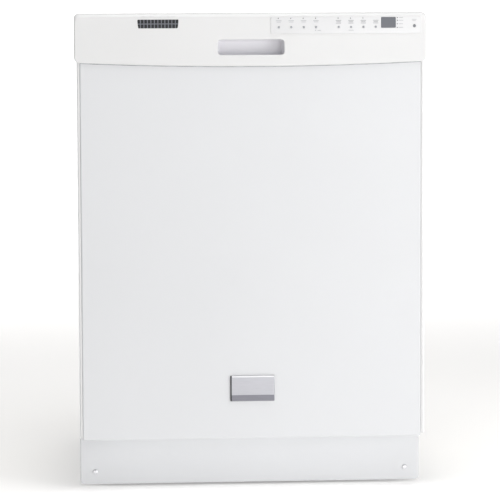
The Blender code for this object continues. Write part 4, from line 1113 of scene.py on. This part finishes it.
    def element(self):
        """The sheathed element: a rod round the floor on clips, with crimped sleeves at its ends."""
        low, high = BOX["heating_element"]
        radius = 3.4 * MM
        x, y0, y1, z = high[0] - radius, low[1] + radius, high[1] - radius, (low[2] + high[2]) / 2
        corners = [(-0.030, y1, z), (-x, y1, z), (-x, y0, z), (x, y0, z), (x, y1, z), (0.030, y1, z)]
        path = bent(corners, 48 * MM, 12)
        parts = [wire(path, radius, 12)]
        for end in (path[0], path[-1]):
            inside = math.copysign(14 * MM, end[0])
            parts.append(wire([end, end + (inside, 0, 0)], 3.5 * MM, 12))
        for cx, cy in ((-x, 0.0), (x, 0.0), (-0.11, y0), (0.11, y0)):
            clip = [(radius, -2 * MM), (radius + 1.0 * MM, -2 * MM), (radius + 1.0 * MM, 2 * MM), (radius, 2 * MM)]
            parts.append(lathe(clip, "y" if abs(cx) == x else "x", (cx, cy, z), 20, closed=True))
        sheath = brushed_stainless("sheathed_element_steel", linear("8C8983"), (1.0, 1.0, 1.0), 0.38)
        build("heater_rod", parts, sheath, CAB, ["heating_element"])


class DISHWASHER_OT_racks(bpy.types.Operator):
    """Both racks, the wheels, the cutlery basket and the spray arms"""

    bl_idname = "dishwasher.racks"
    bl_label = "Racks and spray arms"

    def execute(self, context):
        look, _, size, _ = settings()
        coat = nylon_coat("nylon_coated_wire", look.wire)
        self.lower(size, coat)
        self.upper(size, coat)
        plastic = polypropylene("polypropylene_grey", look.basket)
        self.wheels(plastic)
        self.basket(plastic)
        spray_arm("lower_arm_blade", "lower_spray_arm", plastic, (0.05, 0.09, 0.13, 0.17))
        spray_arm("middle_arm_blade", "middle_spray_arm", plastic, (0.06, 0.10, 0.14, 0.18))
        return {"FINISHED"}

    def crate(self, low, high, size):
        """Wires of an open crate: a rim, a waist and a floor loop, and U wires across it both ways."""
        fine, stout = size.fine_wire / 2, size.frame_wire / 2
        low, high = low + stout, high - stout
        parts = []
        waist = low[2] + 0.45 * (high[2] - low[2])
        for z, radius in ((high[2], stout), (waist, fine), (low[2] + 8 * MM, stout)):
            corners = [(low[0], low[1], z), (high[0], low[1], z), (high[0], high[1], z), (low[0], high[1], z)]
            parts.append(wire(bent(corners, 22 * MM, 5, closed=True), radius, 8, closed=True))
        for axis in (0, 1):
            other = 1 - axis
            count = int((high[axis] - low[axis] - 50 * MM) / size.pitch) + 1
            for place in np.linspace(low[axis] + 25 * MM, high[axis] - 25 * MM, count):
                skin = fine + stout - 0.4 * MM
                ends = (low[other] + skin, high[other] - skin)
                floor = low[2] - stout + fine + (2 * fine - 0.3 * MM) * axis
                corners = np.zeros((4, 3))
                corners[:, axis] = place
                corners[:, other] = (ends[0], ends[0], ends[1], ends[1])
                corners[:, 2] = (high[2], floor, floor, high[2])
                parts.append(wire(bent(corners, 12 * MM, 4), fine, 6))
        return parts, low[2] - stout + 4 * fine

    def tines(self, xs, ys, floor, height, radius, lean):
        """Upright wires with round tips, each leaning back by a small angle."""
        parts = []
        for x in xs:
            for y in ys:
                share = np.linspace(0, 1, 5)[:, None]
                path = np.array((x, y, floor - 2 * MM)) + share * np.array((0, lean * height, height))
                parts.append(wire(path, np.array((1, 1, 1, 0.92, 0.5)) * radius, 6))
        return parts

    def lower(self, size, coat):
        (_, y0, _), (x1, y1, z1) = BOX["lower_rack"]
        half, base = 242.5 * MM, 175 * MM
        low, high = np.array((-half, y0, base)), np.array((half, y1, z1))
        parts, floor = self.crate(low, high, size)
        rows = np.arange(y0 + 30 * MM, y1 - 25 * MM, size.pitch)
        parts += self.tines((-0.20, -0.13, -0.05, 0.03, 0.105), rows, floor, size.tine, size.fine_wire / 2, 0.12)
        for label in SIDES:
            for place in ("front", "rear"):
                wheel = BOX[f"wheel_{label}_{place}"]
                centre = (wheel[0] + wheel[1]) / 2
                side = SIDES[label]
                near, far = sorted((side * (half - 4.6 * MM), side * (half - 0.5 * MM)))
                front, back = centre[1] - 8 * MM, centre[1] + 8 * MM
                hanger = ring(front, back, centre[2] - 8 * MM, base + 20 * MM, 6 * MM, 5, 2, 2)
                parts.append(slab(hanger, "x", near, far, 1.0 * MM, 3))
                tip = side * x1
                pin = [(4.0 * MM, side * (half - 2 * MM)), (4.0 * MM, tip - side * 1.2 * MM), (3.0 * MM, tip)]
                parts.append(lathe(pin, "x", (0, centre[1], centre[2]), 20))
        build("lower_rack_wires", parts, coat, "lower_rack", ["lower_rack"])

    def upper(self, size, coat):
        (_, y0, z0), (x1, y1, z1) = BOX["upper_rack"]
        half, base, deep = 240 * MM, 460 * MM, 268 * MM
        low, high = np.array((-half, y0, base)), np.array((half, deep, z1))
        parts, floor = self.crate(low, high, size)
        rows = np.arange(y0 + 34 * MM, deep - 25 * MM, size.pitch)
        parts += self.tines((-0.10, -0.035, 0.035, 0.10), rows, floor, 0.6 * size.tine, size.fine_wire / 2, 0.1)
        for side in SIDES.values():
            near, far = sorted((side * (half - 4.8 * MM), side * x1))
            bar = ring(near, far, 505 * MM, 519 * MM, 1.5 * MM, 4, 2, 2)
            parts.append(slab(bar, "y", y0 + 4 * MM, deep - 4 * MM, 1.2 * MM, 3))
        channel = ring(-9 * MM, 9 * MM, z0, z0 + 10.4 * MM, 3 * MM, 5, 2, 2)
        parts.append(slab(channel, "y", 28 * MM, y1, 1.5 * MM, 3))
        build("upper_rack_wires", parts, coat, "upper_rack", ["upper_rack"])

    def wheels(self, plastic):
        """A wheel's closed section: hub, thin web, tread with a shallow groove; six ribs stiffen the web."""
        for label in SIDES:
            for place in ("front", "rear"):
                node = f"wheel_{label}_{place}"
                low, high = BOX[node]
                centre = (low + high) / 2
                near, far, mid = low[0], high[0], centre[0]
                bore, hub, rim, tread = 4.5 * MM, 7.0 * MM, 14.2 * MM, high[2] - centre[2]
                section = [(bore, near + 0.4 * MM), (bore + 0.4 * MM, near), (hub, near), (hub, mid - 1.2 * MM)]
                section += [(rim, mid - 1.2 * MM), (rim, near), (tread - 1.2 * MM, near), (tread, near + 1.2 * MM)]
                section += [(tread, mid - 0.8 * MM), (tread - 0.7 * MM, mid), (tread, mid + 0.8 * MM)]
                section += [(tread, far - 1.2 * MM), (tread - 1.2 * MM, far), (rim, far), (rim, mid + 1.2 * MM)]
                section += [(hub, mid + 1.2 * MM), (hub, far), (bore + 0.4 * MM, far), (bore, far - 0.4 * MM)]
                parts = [lathe(section, "x", (0, centre[1], centre[2]), 40, closed=True)]
                for k in range(6):
                    angle = k * math.pi / 3
                    out = np.array((math.cos(angle), math.sin(angle)))
                    wide = np.array((-out[1], out[0])) * 0.8 * MM
                    span = [out * (hub - 0.4 * MM), out * (rim + 0.4 * MM)]
                    outline = np.array([span[0] - wide, span[1] - wide, span[1] + wide, span[0] + wide]) + centre[1:]
                    parts.append(slab(outline, "x", near + 0.8 * MM, far - 0.8 * MM, 0.2 * MM, 2))
                build(node + "_moulding", parts, plastic, node, [node])

    def basket(self, plastic):
        """Four perforated walls, a perforated floor, a divider, a rolled rim, and a grip on an upright post."""
        (x0, y0, z0), (x1, y1, top) = BOX["cutlery_basket"]
        z1, wall = 300 * MM, 2.2 * MM
        parts, hole, gap = [], 9.0 * MM, 2.6 * MM
        for near in (x0, x1 - wall):
            parts += perforated((y0, y1, z0, z1), "x", near, near + wall, hole, gap, 6 * MM)
        middle = (y0 + y1) / 2
        for near in (y0 + 0.05 * MM, middle - wall / 2, y1 - wall - 0.05 * MM):
            span = (x0 + 0.3 * MM, x1 - 0.3 * MM, z0, z1 - 1 * MM)
            parts += perforated(span, "y", near, near + wall, hole, gap, 6 * MM)
        span = (x0 + 0.4 * MM, x1 - 0.4 * MM, y0 + 0.4 * MM, y1 - 0.4 * MM)
        parts += perforated(span, "z", z0, z0 + wall, hole, gap, 4 * MM)
        inset = 2.0 * MM
        corners = [(x0 + inset, y0 + inset, z1 - 2 * MM), (x1 - inset, y0 + inset, z1 - 2 * MM)]
        corners += [(x1 - inset, y1 - inset, z1 - 2 * MM), (x0 + inset, y1 - inset, z1 - 2 * MM)]
        parts.append(wire(bent(corners, 4 * MM, 4, closed=True), inset, 8, closed=True))
        centre = (x0 + x1) / 2
        bail = np.linspace((centre, middle, z1 - 60 * MM), (centre, middle, top - 5 * MM), 6)
        parts.append(wire(bail, 4.6 * MM, 12))
        grip = ring(centre - 6 * MM, centre + 6 * MM, top - 8 * MM, top, 3.5 * MM, 6, 2, 1)
        parts.append(slab(grip, "y", middle - 60 * MM, middle + 60 * MM, 3 * MM, 4))
        build("cutlery_basket_moulding", parts, plastic, "cutlery_basket", ["cutlery_basket"])


class DISHWASHER_OT_floor(bpy.types.Operator):
    """Filter, float, feed tube, the machinery under the tub and the feet"""

    bl_idname = "dishwasher.floor"
    bl_label = "Wash system"

    def execute(self, context):
        self.filter()
        self.float_and_tube()
        self.machinery()
        self.feet()
        return {"FINISHED"}

    def filter(self):
        """A cup with 24 upright ribs round its shoulder, and a bar handle across it."""
        low, high = BOX["filter_cup"]
        centre = (low + high) / 2
        radius = (high[0] - low[0]) / 2
        grey = polypropylene("polypropylene_filter", linear("8F969E"))
        cup = [(radius - 1.6 * MM, low[2]), (radius - 1.6 * MM, high[2] - 26 * MM), (radius, high[2] - 25 * MM)]
        cup += [(radius, high[2] - 13 * MM), (radius - 1.2 * MM, high[2] - 11 * MM)]
        cup += [(radius - 5 * MM, high[2] - 9.5 * MM), (radius - 9 * MM, high[2] - 11.5 * MM)]
        cup.append((8 * MM, high[2] - 12 * MM))
        parts = [lathe([(2 * MM, low[2]), *cup], "z", (centre[0], centre[1], 0), 48)]
        left, near = centre[:2] - (24 * MM, 3 * MM)
        right, far = centre[:2] + (24 * MM, 3 * MM)
        handle = ring(left, right, near, far, 2.9 * MM, 6, 8, 1)
        parts.append(slab(handle, "z", high[2] - 13 * MM, high[2], 1.4 * MM, 4))
        for k in range(24):
            angle = k * math.pi / 12
            out = np.array((math.cos(angle), math.sin(angle), 0))
            start = np.array((centre[0], centre[1], high[2] - 14 * MM)) + out * (radius - 1.2 * MM)
            parts.append(wire([start - (0, 0, 9 * MM), start], 1.1 * MM, 6))
        build("filter_moulding", parts, grey, "filter_cup", ["filter_cup"])

    def float_and_tube(self):
        """The float is a domed cap on a stem, the tube a bent round duct with three bands."""
        white = polypropylene("polypropylene_white", linear("E3E5E6"))
        low, high = BOX["float"]
        centre = (low + high) / 2
        radius = (high[0] - low[0]) / 2
        cap = [(5.8 * MM, low[2]), (5.8 * MM, low[2] + 11 * MM), (radius - 2 * MM, low[2] + 11 * MM)]
        cap += [(radius, low[2] + 12.5 * MM), (radius, low[2] + 26 * MM)]
        for t in np.linspace(0.15, 1.4, 8):
            cap.append((radius * math.cos(t), low[2] + 26 * MM + (high[2] - low[2] - 26 * MM) * math.sin(t)))
        build("float_cap", [lathe(cap, "z", (centre[0], centre[1], 0), 32)], white, "float", ["float"])
        low, high = BOX["spray_feed_tube"]
        radius = 8.6 * MM
        rise, lid = high[1] - radius - 0.2 * MM, high[2] - radius - 0.2 * MM
        corners = [(0.0, low[1] + 0.2 * MM, 126 * MM), (0.0, rise, 126 * MM)]
        corners += [(0.0, rise, lid), (0.0, 272.5 * MM, lid)]
        path = bent(corners, 14 * MM, 8)
        parts = [wire(path, radius, 20)]
        for z in (180 * MM, 300 * MM, 420 * MM):
            sunk, proud = radius - 0.4 * MM, radius + 0.2 * MM
            band = [(sunk, z), (proud, z + 0.4 * MM), (proud, z + 7 * MM), (sunk, z + 7.4 * MM)]
            parts.append(lathe(band, "z", (0.0, rise, 0), 24, closed=True))
        build("feed_duct", parts, white, CAB, ["spray_feed_tube"])

    def machinery(self):
        """Motor with cooling fins, pump with a spout and the inlet valve with its coil."""
        enamel = machine_enamel("sprayed_motor_enamel", linear("5C6066"))
        low, high = BOX["wash_motor"]
        centre = (low + high) / 2
        radius, start, end = (high[2] - low[2]) / 2, low[0], high[0]
        profile = [(20 * MM, start), (radius - 1 * MM, start + 8 * MM)]
        for x in np.arange(start + 14 * MM, start + 82 * MM, 6 * MM):
            profile += [(radius, x), (radius, x + 2.2 * MM)]
            profile += [(radius - 3 * MM, x + 2.8 * MM), (radius - 3 * MM, x + 5.4 * MM)]
        profile += [(radius - 4 * MM, start + 88 * MM), (radius - 8 * MM, start + 95 * MM)]
        profile += [(12 * MM, start + 98 * MM), (12 * MM, end - 1 * MM), (11 * MM, end)]
        build("motor_casting", [lathe(profile, "x", (0, centre[1], centre[2]), 40)], enamel, CAB, ["wash_motor"])
        nylon = glass_filled_nylon("glass_filled_nylon_pump", linear("6F747A"))
        low, high = BOX["drain_pump"]
        end, start = low[0], high[0]
        y, z = -30 * MM, 76 * MM
        body = [(24 * MM, start), (29.5 * MM, start - 1.5 * MM)]
        body += [(29.5 * MM, start - 21 * MM), (24 * MM, start - 25 * MM)]
        for x in np.arange(30 * MM, 70 * MM, 8 * MM):
            body += [(24 * MM, start - x), (24 * MM, start - x - 4 * MM)]
            body += [(22.5 * MM, start - x - 4.6 * MM), (22.5 * MM, start - x - 7.4 * MM)]
        body += [(20 * MM, end + 3 * MM), (15 * MM, end)]
        spout = [(9 * MM, 10 * MM), (9 * MM, 60 * MM), (8.2 * MM, 62 * MM), (9 * MM, 64 * MM)]
        spout += [(9 * MM, 66 * MM), (8.2 * MM, 68 * MM), (9 * MM, 70 * MM)]
        spout += [(8.0 * MM, high[1] - y), (6.0 * MM, high[1] - y), (6.0 * MM, 40 * MM)]
        parts = [lathe(body, "x", (0, y, z), 40), lathe(spout, "y", (start - 12 * MM + 0.3 * MM, y, z), 24)]
        build("pump_moulding", parts, nylon, CAB, ["drain_pump"])
        white = polypropylene("polypropylene_valve", linear("DADCDD"))
        low, high = BOX["inlet_valve"]
        block = ring(low[0], high[0], low[1], high[1], 4 * MM, 5, 2, 2)
        parts = [slab(block, "z", 56 * MM, 90 * MM, 2 * MM, 3)]
        thread = [(8 * MM, 57 * MM)]
        for z in np.arange(52 * MM, 39 * MM, -2 * MM):
            thread += [(11 * MM, z), (10.2 * MM, z - 1 * MM)]
        thread += [(10.6 * MM, low[2]), (8 * MM, low[2]), (8 * MM, 54 * MM)]
        parts.append(lathe(thread, "z", (-212 * MM, -165 * MM, 0), 28))
        coil = [(10 * MM, 44 * MM), (12 * MM, 45 * MM), (12 * MM, 98.5 * MM), (10.5 * MM, high[2]), (4 * MM, high[2])]
        parts.append(lathe(coil, "z", (-187 * MM, -165 * MM, 0), 28))
        build("valve_moulding", parts, white, CAB, ["inlet_valve"])

    def feet(self):
        """A foot is a flared pad, and a stem whose thread is a row of ridges."""
        nylon = glass_filled_nylon("glass_filled_nylon_foot", linear("33363B"))
        for label in SIDES:
            node = "foot_front_" + label
            low, high = BOX[node]
            centre = (low + high) / 2
            pad = [(14.5 * MM, 0.0), (16 * MM, 1.5 * MM), (16 * MM, 4.5 * MM)]
            pad += [(14 * MM, 6 * MM), (8.5 * MM, 9 * MM), (8 * MM, 12 * MM)]
            for z in np.arange(14 * MM, 73 * MM, 2.5 * MM):
                pad += [(4.3 * MM, z), (5.0 * MM, z + 0.8 * MM), (5.0 * MM, z + 1.2 * MM)]
            pad += [(4.3 * MM, high[2] - 0.3 * MM), (3.6 * MM, high[2])]
            parts = [lathe(pad, "z", (centre[0], centre[1], 0), 24)]
            build("foot_" + label + "_moulding", parts, nylon, node, [node])


class DISHWASHER_OT_inner_door(bpy.types.Operator):
    """Inner door, dispenser, hinges, springs and latch"""

    bl_idname = "dishwasher.inner_door"
    bl_label = "Inner door and hinges"

    def execute(self, context):
        look, _, _, _ = settings()
        white = polypropylene("polypropylene_inner_door", look.liner, 0.34)
        self.liner(white)
        self.dispenser(white)
        self.springs()
        zinc = galvanised_sheet("galvanised_sheet_steel", linear("B2B4B6"))
        dark = glass_filled_nylon("glass_filled_nylon_dark", linear("35383D"))
        carried = {
            zinc: ("base_frame", "bracket_left", "bracket_right", "door_strike", "junction_box", "latch_pawl")
            + tuple("hinge_" + label for label in SIDES),
            dark: ("sump", "latch_housing"),
        }
        for finish_made, nodes in carried.items():
            for node in nodes:
                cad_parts[node].data.materials.clear()
                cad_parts[node].data.materials.append(finish_made)
        return {"FINISHED"}

    def liner(self, white):
        """A deep pan that faces the tub, with the dispenser's window and the latch's slot, and raised ribs."""
        (x0, y0, z0), (x1, y1, z1) = BOX["door_liner"]
        face = y1 - 1.6 * MM
        low, high = BOX["dispenser_body"]
        gap = 0.4 * MM
        window = ring(low[0] - gap, high[0] + gap, low[2] - gap, high[2] + gap, 1 * MM, 2, 4, 4)
        slot = ring(-22 * MM, 22 * MM, 785 * MM, 809 * MM, 2 * MM, 3, 4, 2)
        outline = ring(x0, x1, z0, z1, 10 * MM, 8, 10, 10)
        edge, thick, turn = 4 * MM, 2.3 * MM, np.linspace(0, math.pi / 2, 6)
        rows = rounded(outline, edge, face, turn, deep=-1)
        rows += [placed(outline, y0, "y"), placed(grown(outline, -thick), y0, "y")]
        rows.append(placed(grown(outline, -thick), face - thick - edge, "y"))
        rows.append(placed(grown(outline, -edge - thick), face - thick, "y"))
        parts = [grid(np.stack(rows))]
        for hole in (window, slot):
            parts.append(grid(np.stack([placed(hole, face, "y"), placed(hole, face - thick, "y")])))
        parts.append(filled(rows[0][:, [0, 2]], [window, slot], face, "y"))
        parts.append(filled(rows[-1][:, [0, 2]], [window, slot], face - thick, "y"))
        for x in (-0.215, -0.16, 0.16, 0.215):
            rib = ring(x - 7 * MM, x + 7 * MM, 0.15, 0.74, 6.5 * MM, 6, 1, 12)
            parts.append(slab(rib, "y", y1, face - 0.3 * MM, 1.2 * MM, 4))
        for z in (0.20, 0.26, 0.50, 0.58, 0.66):
            rib = ring(-0.115, 0.115, z - 7 * MM, z + 7 * MM, 6.5 * MM, 6, 12, 1)
            parts.append(slab(rib, "y", y1, face - 0.3 * MM, 1.2 * MM, 4))
        build("inner_door_pan", parts, white, DOOR, ["door_liner"])

    def dispenser(self, white):
        """Housing with a dished cup, the cup's lid, and the rinse aid cap with its grip."""
        (x0, y0, z0), (x1, y1, z1) = BOX["dispenser_body"]
        lid_low, lid_high = BOX["dispenser_lid"]
        sides = (lid_low[0] + 5 * MM, lid_high[0] - 5 * MM, lid_low[2] + 3 * MM, lid_high[2] - 3 * MM)
        cup = ring(*sides, 8 * MM, 6, 6, 6)
        outline = ring(x0, x1, z0, z1, 3 * MM, 5, 6, 6)
        turn = np.linspace(0, math.pi / 2, 6)
        edge, deep = 1.5 * MM, 25 * MM
        rows = rounded(outline, edge, y1, turn, deep=-1)
        rows.append(placed(outline, y0, "y"))
        dish = [placed(cup, y1, "y"), placed(cup, y1 - deep + 8 * MM, "y")]
        for a in turn[1:]:
            dish.append(placed(grown(cup, -8 * MM * (1 - math.cos(a))), y1 - deep + 8 * MM * (1 - math.sin(a)), "y"))
        parts = [grid(np.stack(rows), cap_end=True), grid(np.stack(dish), cap_end=True)]
        parts.append(filled(rows[0][:, [0, 2]], [cup], y1, "y"))
        build("dispenser_housing", parts, white, DOOR, ["dispenser_body"])
        grey = polypropylene("polypropylene_lid", linear("B9BEC4"))
        lid = ring(lid_low[0], lid_high[0], lid_low[2], lid_high[2], 4 * MM, 6, 6, 6)
        parts = [slab(lid, "y", lid_low[1], lid_high[1], 0.8 * MM, 4)]
        build("dispenser_lid_plate", parts, grey, "dispenser_lid", ["dispenser_lid"])
        low, high = BOX["rinse_cap"]
        centre = (low + high) / 2
        radius = (high[0] - low[0]) / 2
        disc = [(radius, low[1]), (radius, low[1] + 2.6 * MM), (radius - 0.6 * MM, low[1] + 3.6 * MM)]
        disc += [(radius - 2 * MM, low[1] + 4.2 * MM), (radius - 5 * MM, low[1] + 3.4 * MM)]
        parts = [lathe(disc, "y", (centre[0], 0, centre[2]), 40)]
        x, _, z = centre
        grip = ring(x - 14.5 * MM, x + 14.5 * MM, z - 2 * MM, z + 2 * MM, 1.9 * MM, 6, 6, 1)
        parts.append(slab(grip, "y", high[1], low[1] + 2.5 * MM, 0.8 * MM, 4))
        build("rinse_cap_disc", parts, grey, "rinse_cap", ["rinse_cap"])

    def springs(self):
        """Each spring is a helix between straight tails, drawn from the cabinet's hook to the hinge arm's."""
        steel = brushed_stainless("drawn_spring_steel", linear("7E8084"), (1.0, 1.0, 1.0), 0.34)
        for label in SIDES:
            low, high = BOX["door_spring_" + label]
            centre, start, end = (low + high) / 2, low[1], high[1]
            radius, gauge, turns = 4.9 * MM, 1.0 * MM, 44
            share = np.linspace(0, 1, turns * 14 + 1)
            wind = np.clip((share - 0.03) / 0.94, 0, 1)
            angle = 2 * math.pi * turns * wind
            swell = radius * np.clip(np.minimum(share, 1 - share) / 0.03, 0, 1)
            y = start + gauge + (end - start - 2 * gauge) * share
            path = np.stack([centre[0] + swell * np.cos(angle), y, centre[2] + swell * np.sin(angle)], -1)
            parts = [wire(path, gauge, 6)]
            spring = build("spring_coil_" + label, parts, steel, None, ["door_spring_" + label], sharp=60)
            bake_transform(spring)


class DISHWASHER_OT_studio(bpy.types.Operator):
    """Pale floor and backdrop in one sweep, soft lights and the camera"""

    bl_idname = "dishwasher.studio"
    bl_label = "Studio"

    def execute(self, context):
        *_, studio = settings()
        scene = context.scene
        reach, curve, top = 11.0, 2.0, 8.0
        profile = [(-reach, 0.0), (reach, 0.0)]
        for t in np.linspace(0.1, math.pi / 2, 14):
            profile.append((reach + curve * math.sin(t), curve - curve * math.cos(t)))
        profile = np.array([*profile, (reach + curve, top)])
        across = np.linspace(-reach, reach, 3)
        points = np.stack([np.stack([np.full(len(profile), x), profile[:, 0], profile[:, 1]], -1) for x in across])
        sheet = studio_paper("studio_paper", studio.paper)
        paper = build("floor_and_backdrop", [grid(points, wrap_columns=False)], sheet, None)
        scene.world = bpy.data.worlds.new("studio_air")
        scene.world.use_nodes = True
        air = scene.world.node_tree.nodes["Background"]
        air.inputs["Color"].default_value = rgba(linear("FFFFFF"))
        air.inputs["Strength"].default_value = AIR_LIGHT
        lights = {
            "soft_key": ((1.8, -1.7, 0.5), (1.2, 0.9), 16.0),
            "soft_top": ((0.1, -0.75, 2.5), (1.4, 1.4), 25.0),
            "soft_fill": ((-1.8, -3.0, 0.7), (1.2, 1.2), 2.0),
            "far_card": ((1.7, -5.8, 0.25), (2.2, 0.5), 62.0),
        }
        for name, (place, size, power) in lights.items():
            data = bpy.data.lights.new(name, "AREA")
            data.shape, data.energy = "RECTANGLE", power
            data.size, data.size_y = size
            lamp = bpy.data.objects.new(name, data)
            lamp.location = place
            lamp.rotation_euler = (AIM - Vector(place)).to_track_quat("-Z", "Y").to_euler()
            scene.collection.objects.link(lamp)
        data = bpy.data.cameras.new("camera")
        data.lens, data.sensor_width, data.clip_end = studio.lens, 36.0, 50.0
        camera = bpy.data.objects.new("camera", data)
        camera.location = (studio.side, FRONT - studio.distance, studio.height)
        camera.rotation_euler = Euler((math.pi / 2 - studio.pitch, studio.roll, -studio.yaw), "XYZ")
        scene.collection.objects.link(camera)
        scene.camera = camera
        scene.view_settings.view_transform = "Standard"
        return {"FINISHED"}


class DISHWASHER_PT_sidebar(bpy.types.Panel):
    """Settings and build buttons of the dishwasher"""

    bl_idname = "DISHWASHER_PT_sidebar"
    bl_label = "Dishwasher"
    bl_space_type = "VIEW_3D"
    bl_region_type = "UI"
    bl_category = "Dishwasher"

    def draw(self, context):
        for group in settings():
            box = self.layout.box()
            for key in group.__annotations__:
                box.prop(group, key)
        for kind in OPERATORS:
            self.layout.operator(kind.bl_idname)


OPERATORS = (
    DISHWASHER_OT_studio,
    DISHWASHER_OT_panel,
    DISHWASHER_OT_console,
    DISHWASHER_OT_controls,
    DISHWASHER_OT_tub,
    DISHWASHER_OT_racks,
    DISHWASHER_OT_floor,
    DISHWASHER_OT_inner_door,
)
GROUPS = {
    "dw_finish": FinishSettings,
    "dw_front": FrontSettings,
    "dw_rack": RackSettings,
    "dw_stage": StageSettings,
}


def register():
    for kind in (*GROUPS.values(), *OPERATORS, DISHWASHER_PT_sidebar):
        bpy.utils.register_class(kind)
    for name, kind in GROUPS.items():
        setattr(bpy.types.Scene, name, bpy.props.PointerProperty(type=kind))


def unregister():
    for name in GROUPS:
        delattr(bpy.types.Scene, name)
    for kind in (DISHWASHER_PT_sidebar, *reversed(OPERATORS), *reversed(GROUPS.values())):
        bpy.utils.unregister_class(kind)


def main():
    """Registers the classes and builds every group."""
    register()
    for kind in OPERATORS:
        getattr(bpy.ops.dishwasher, kind.bl_idname.split(".")[1])()


if __name__ == "__main__":
    main()
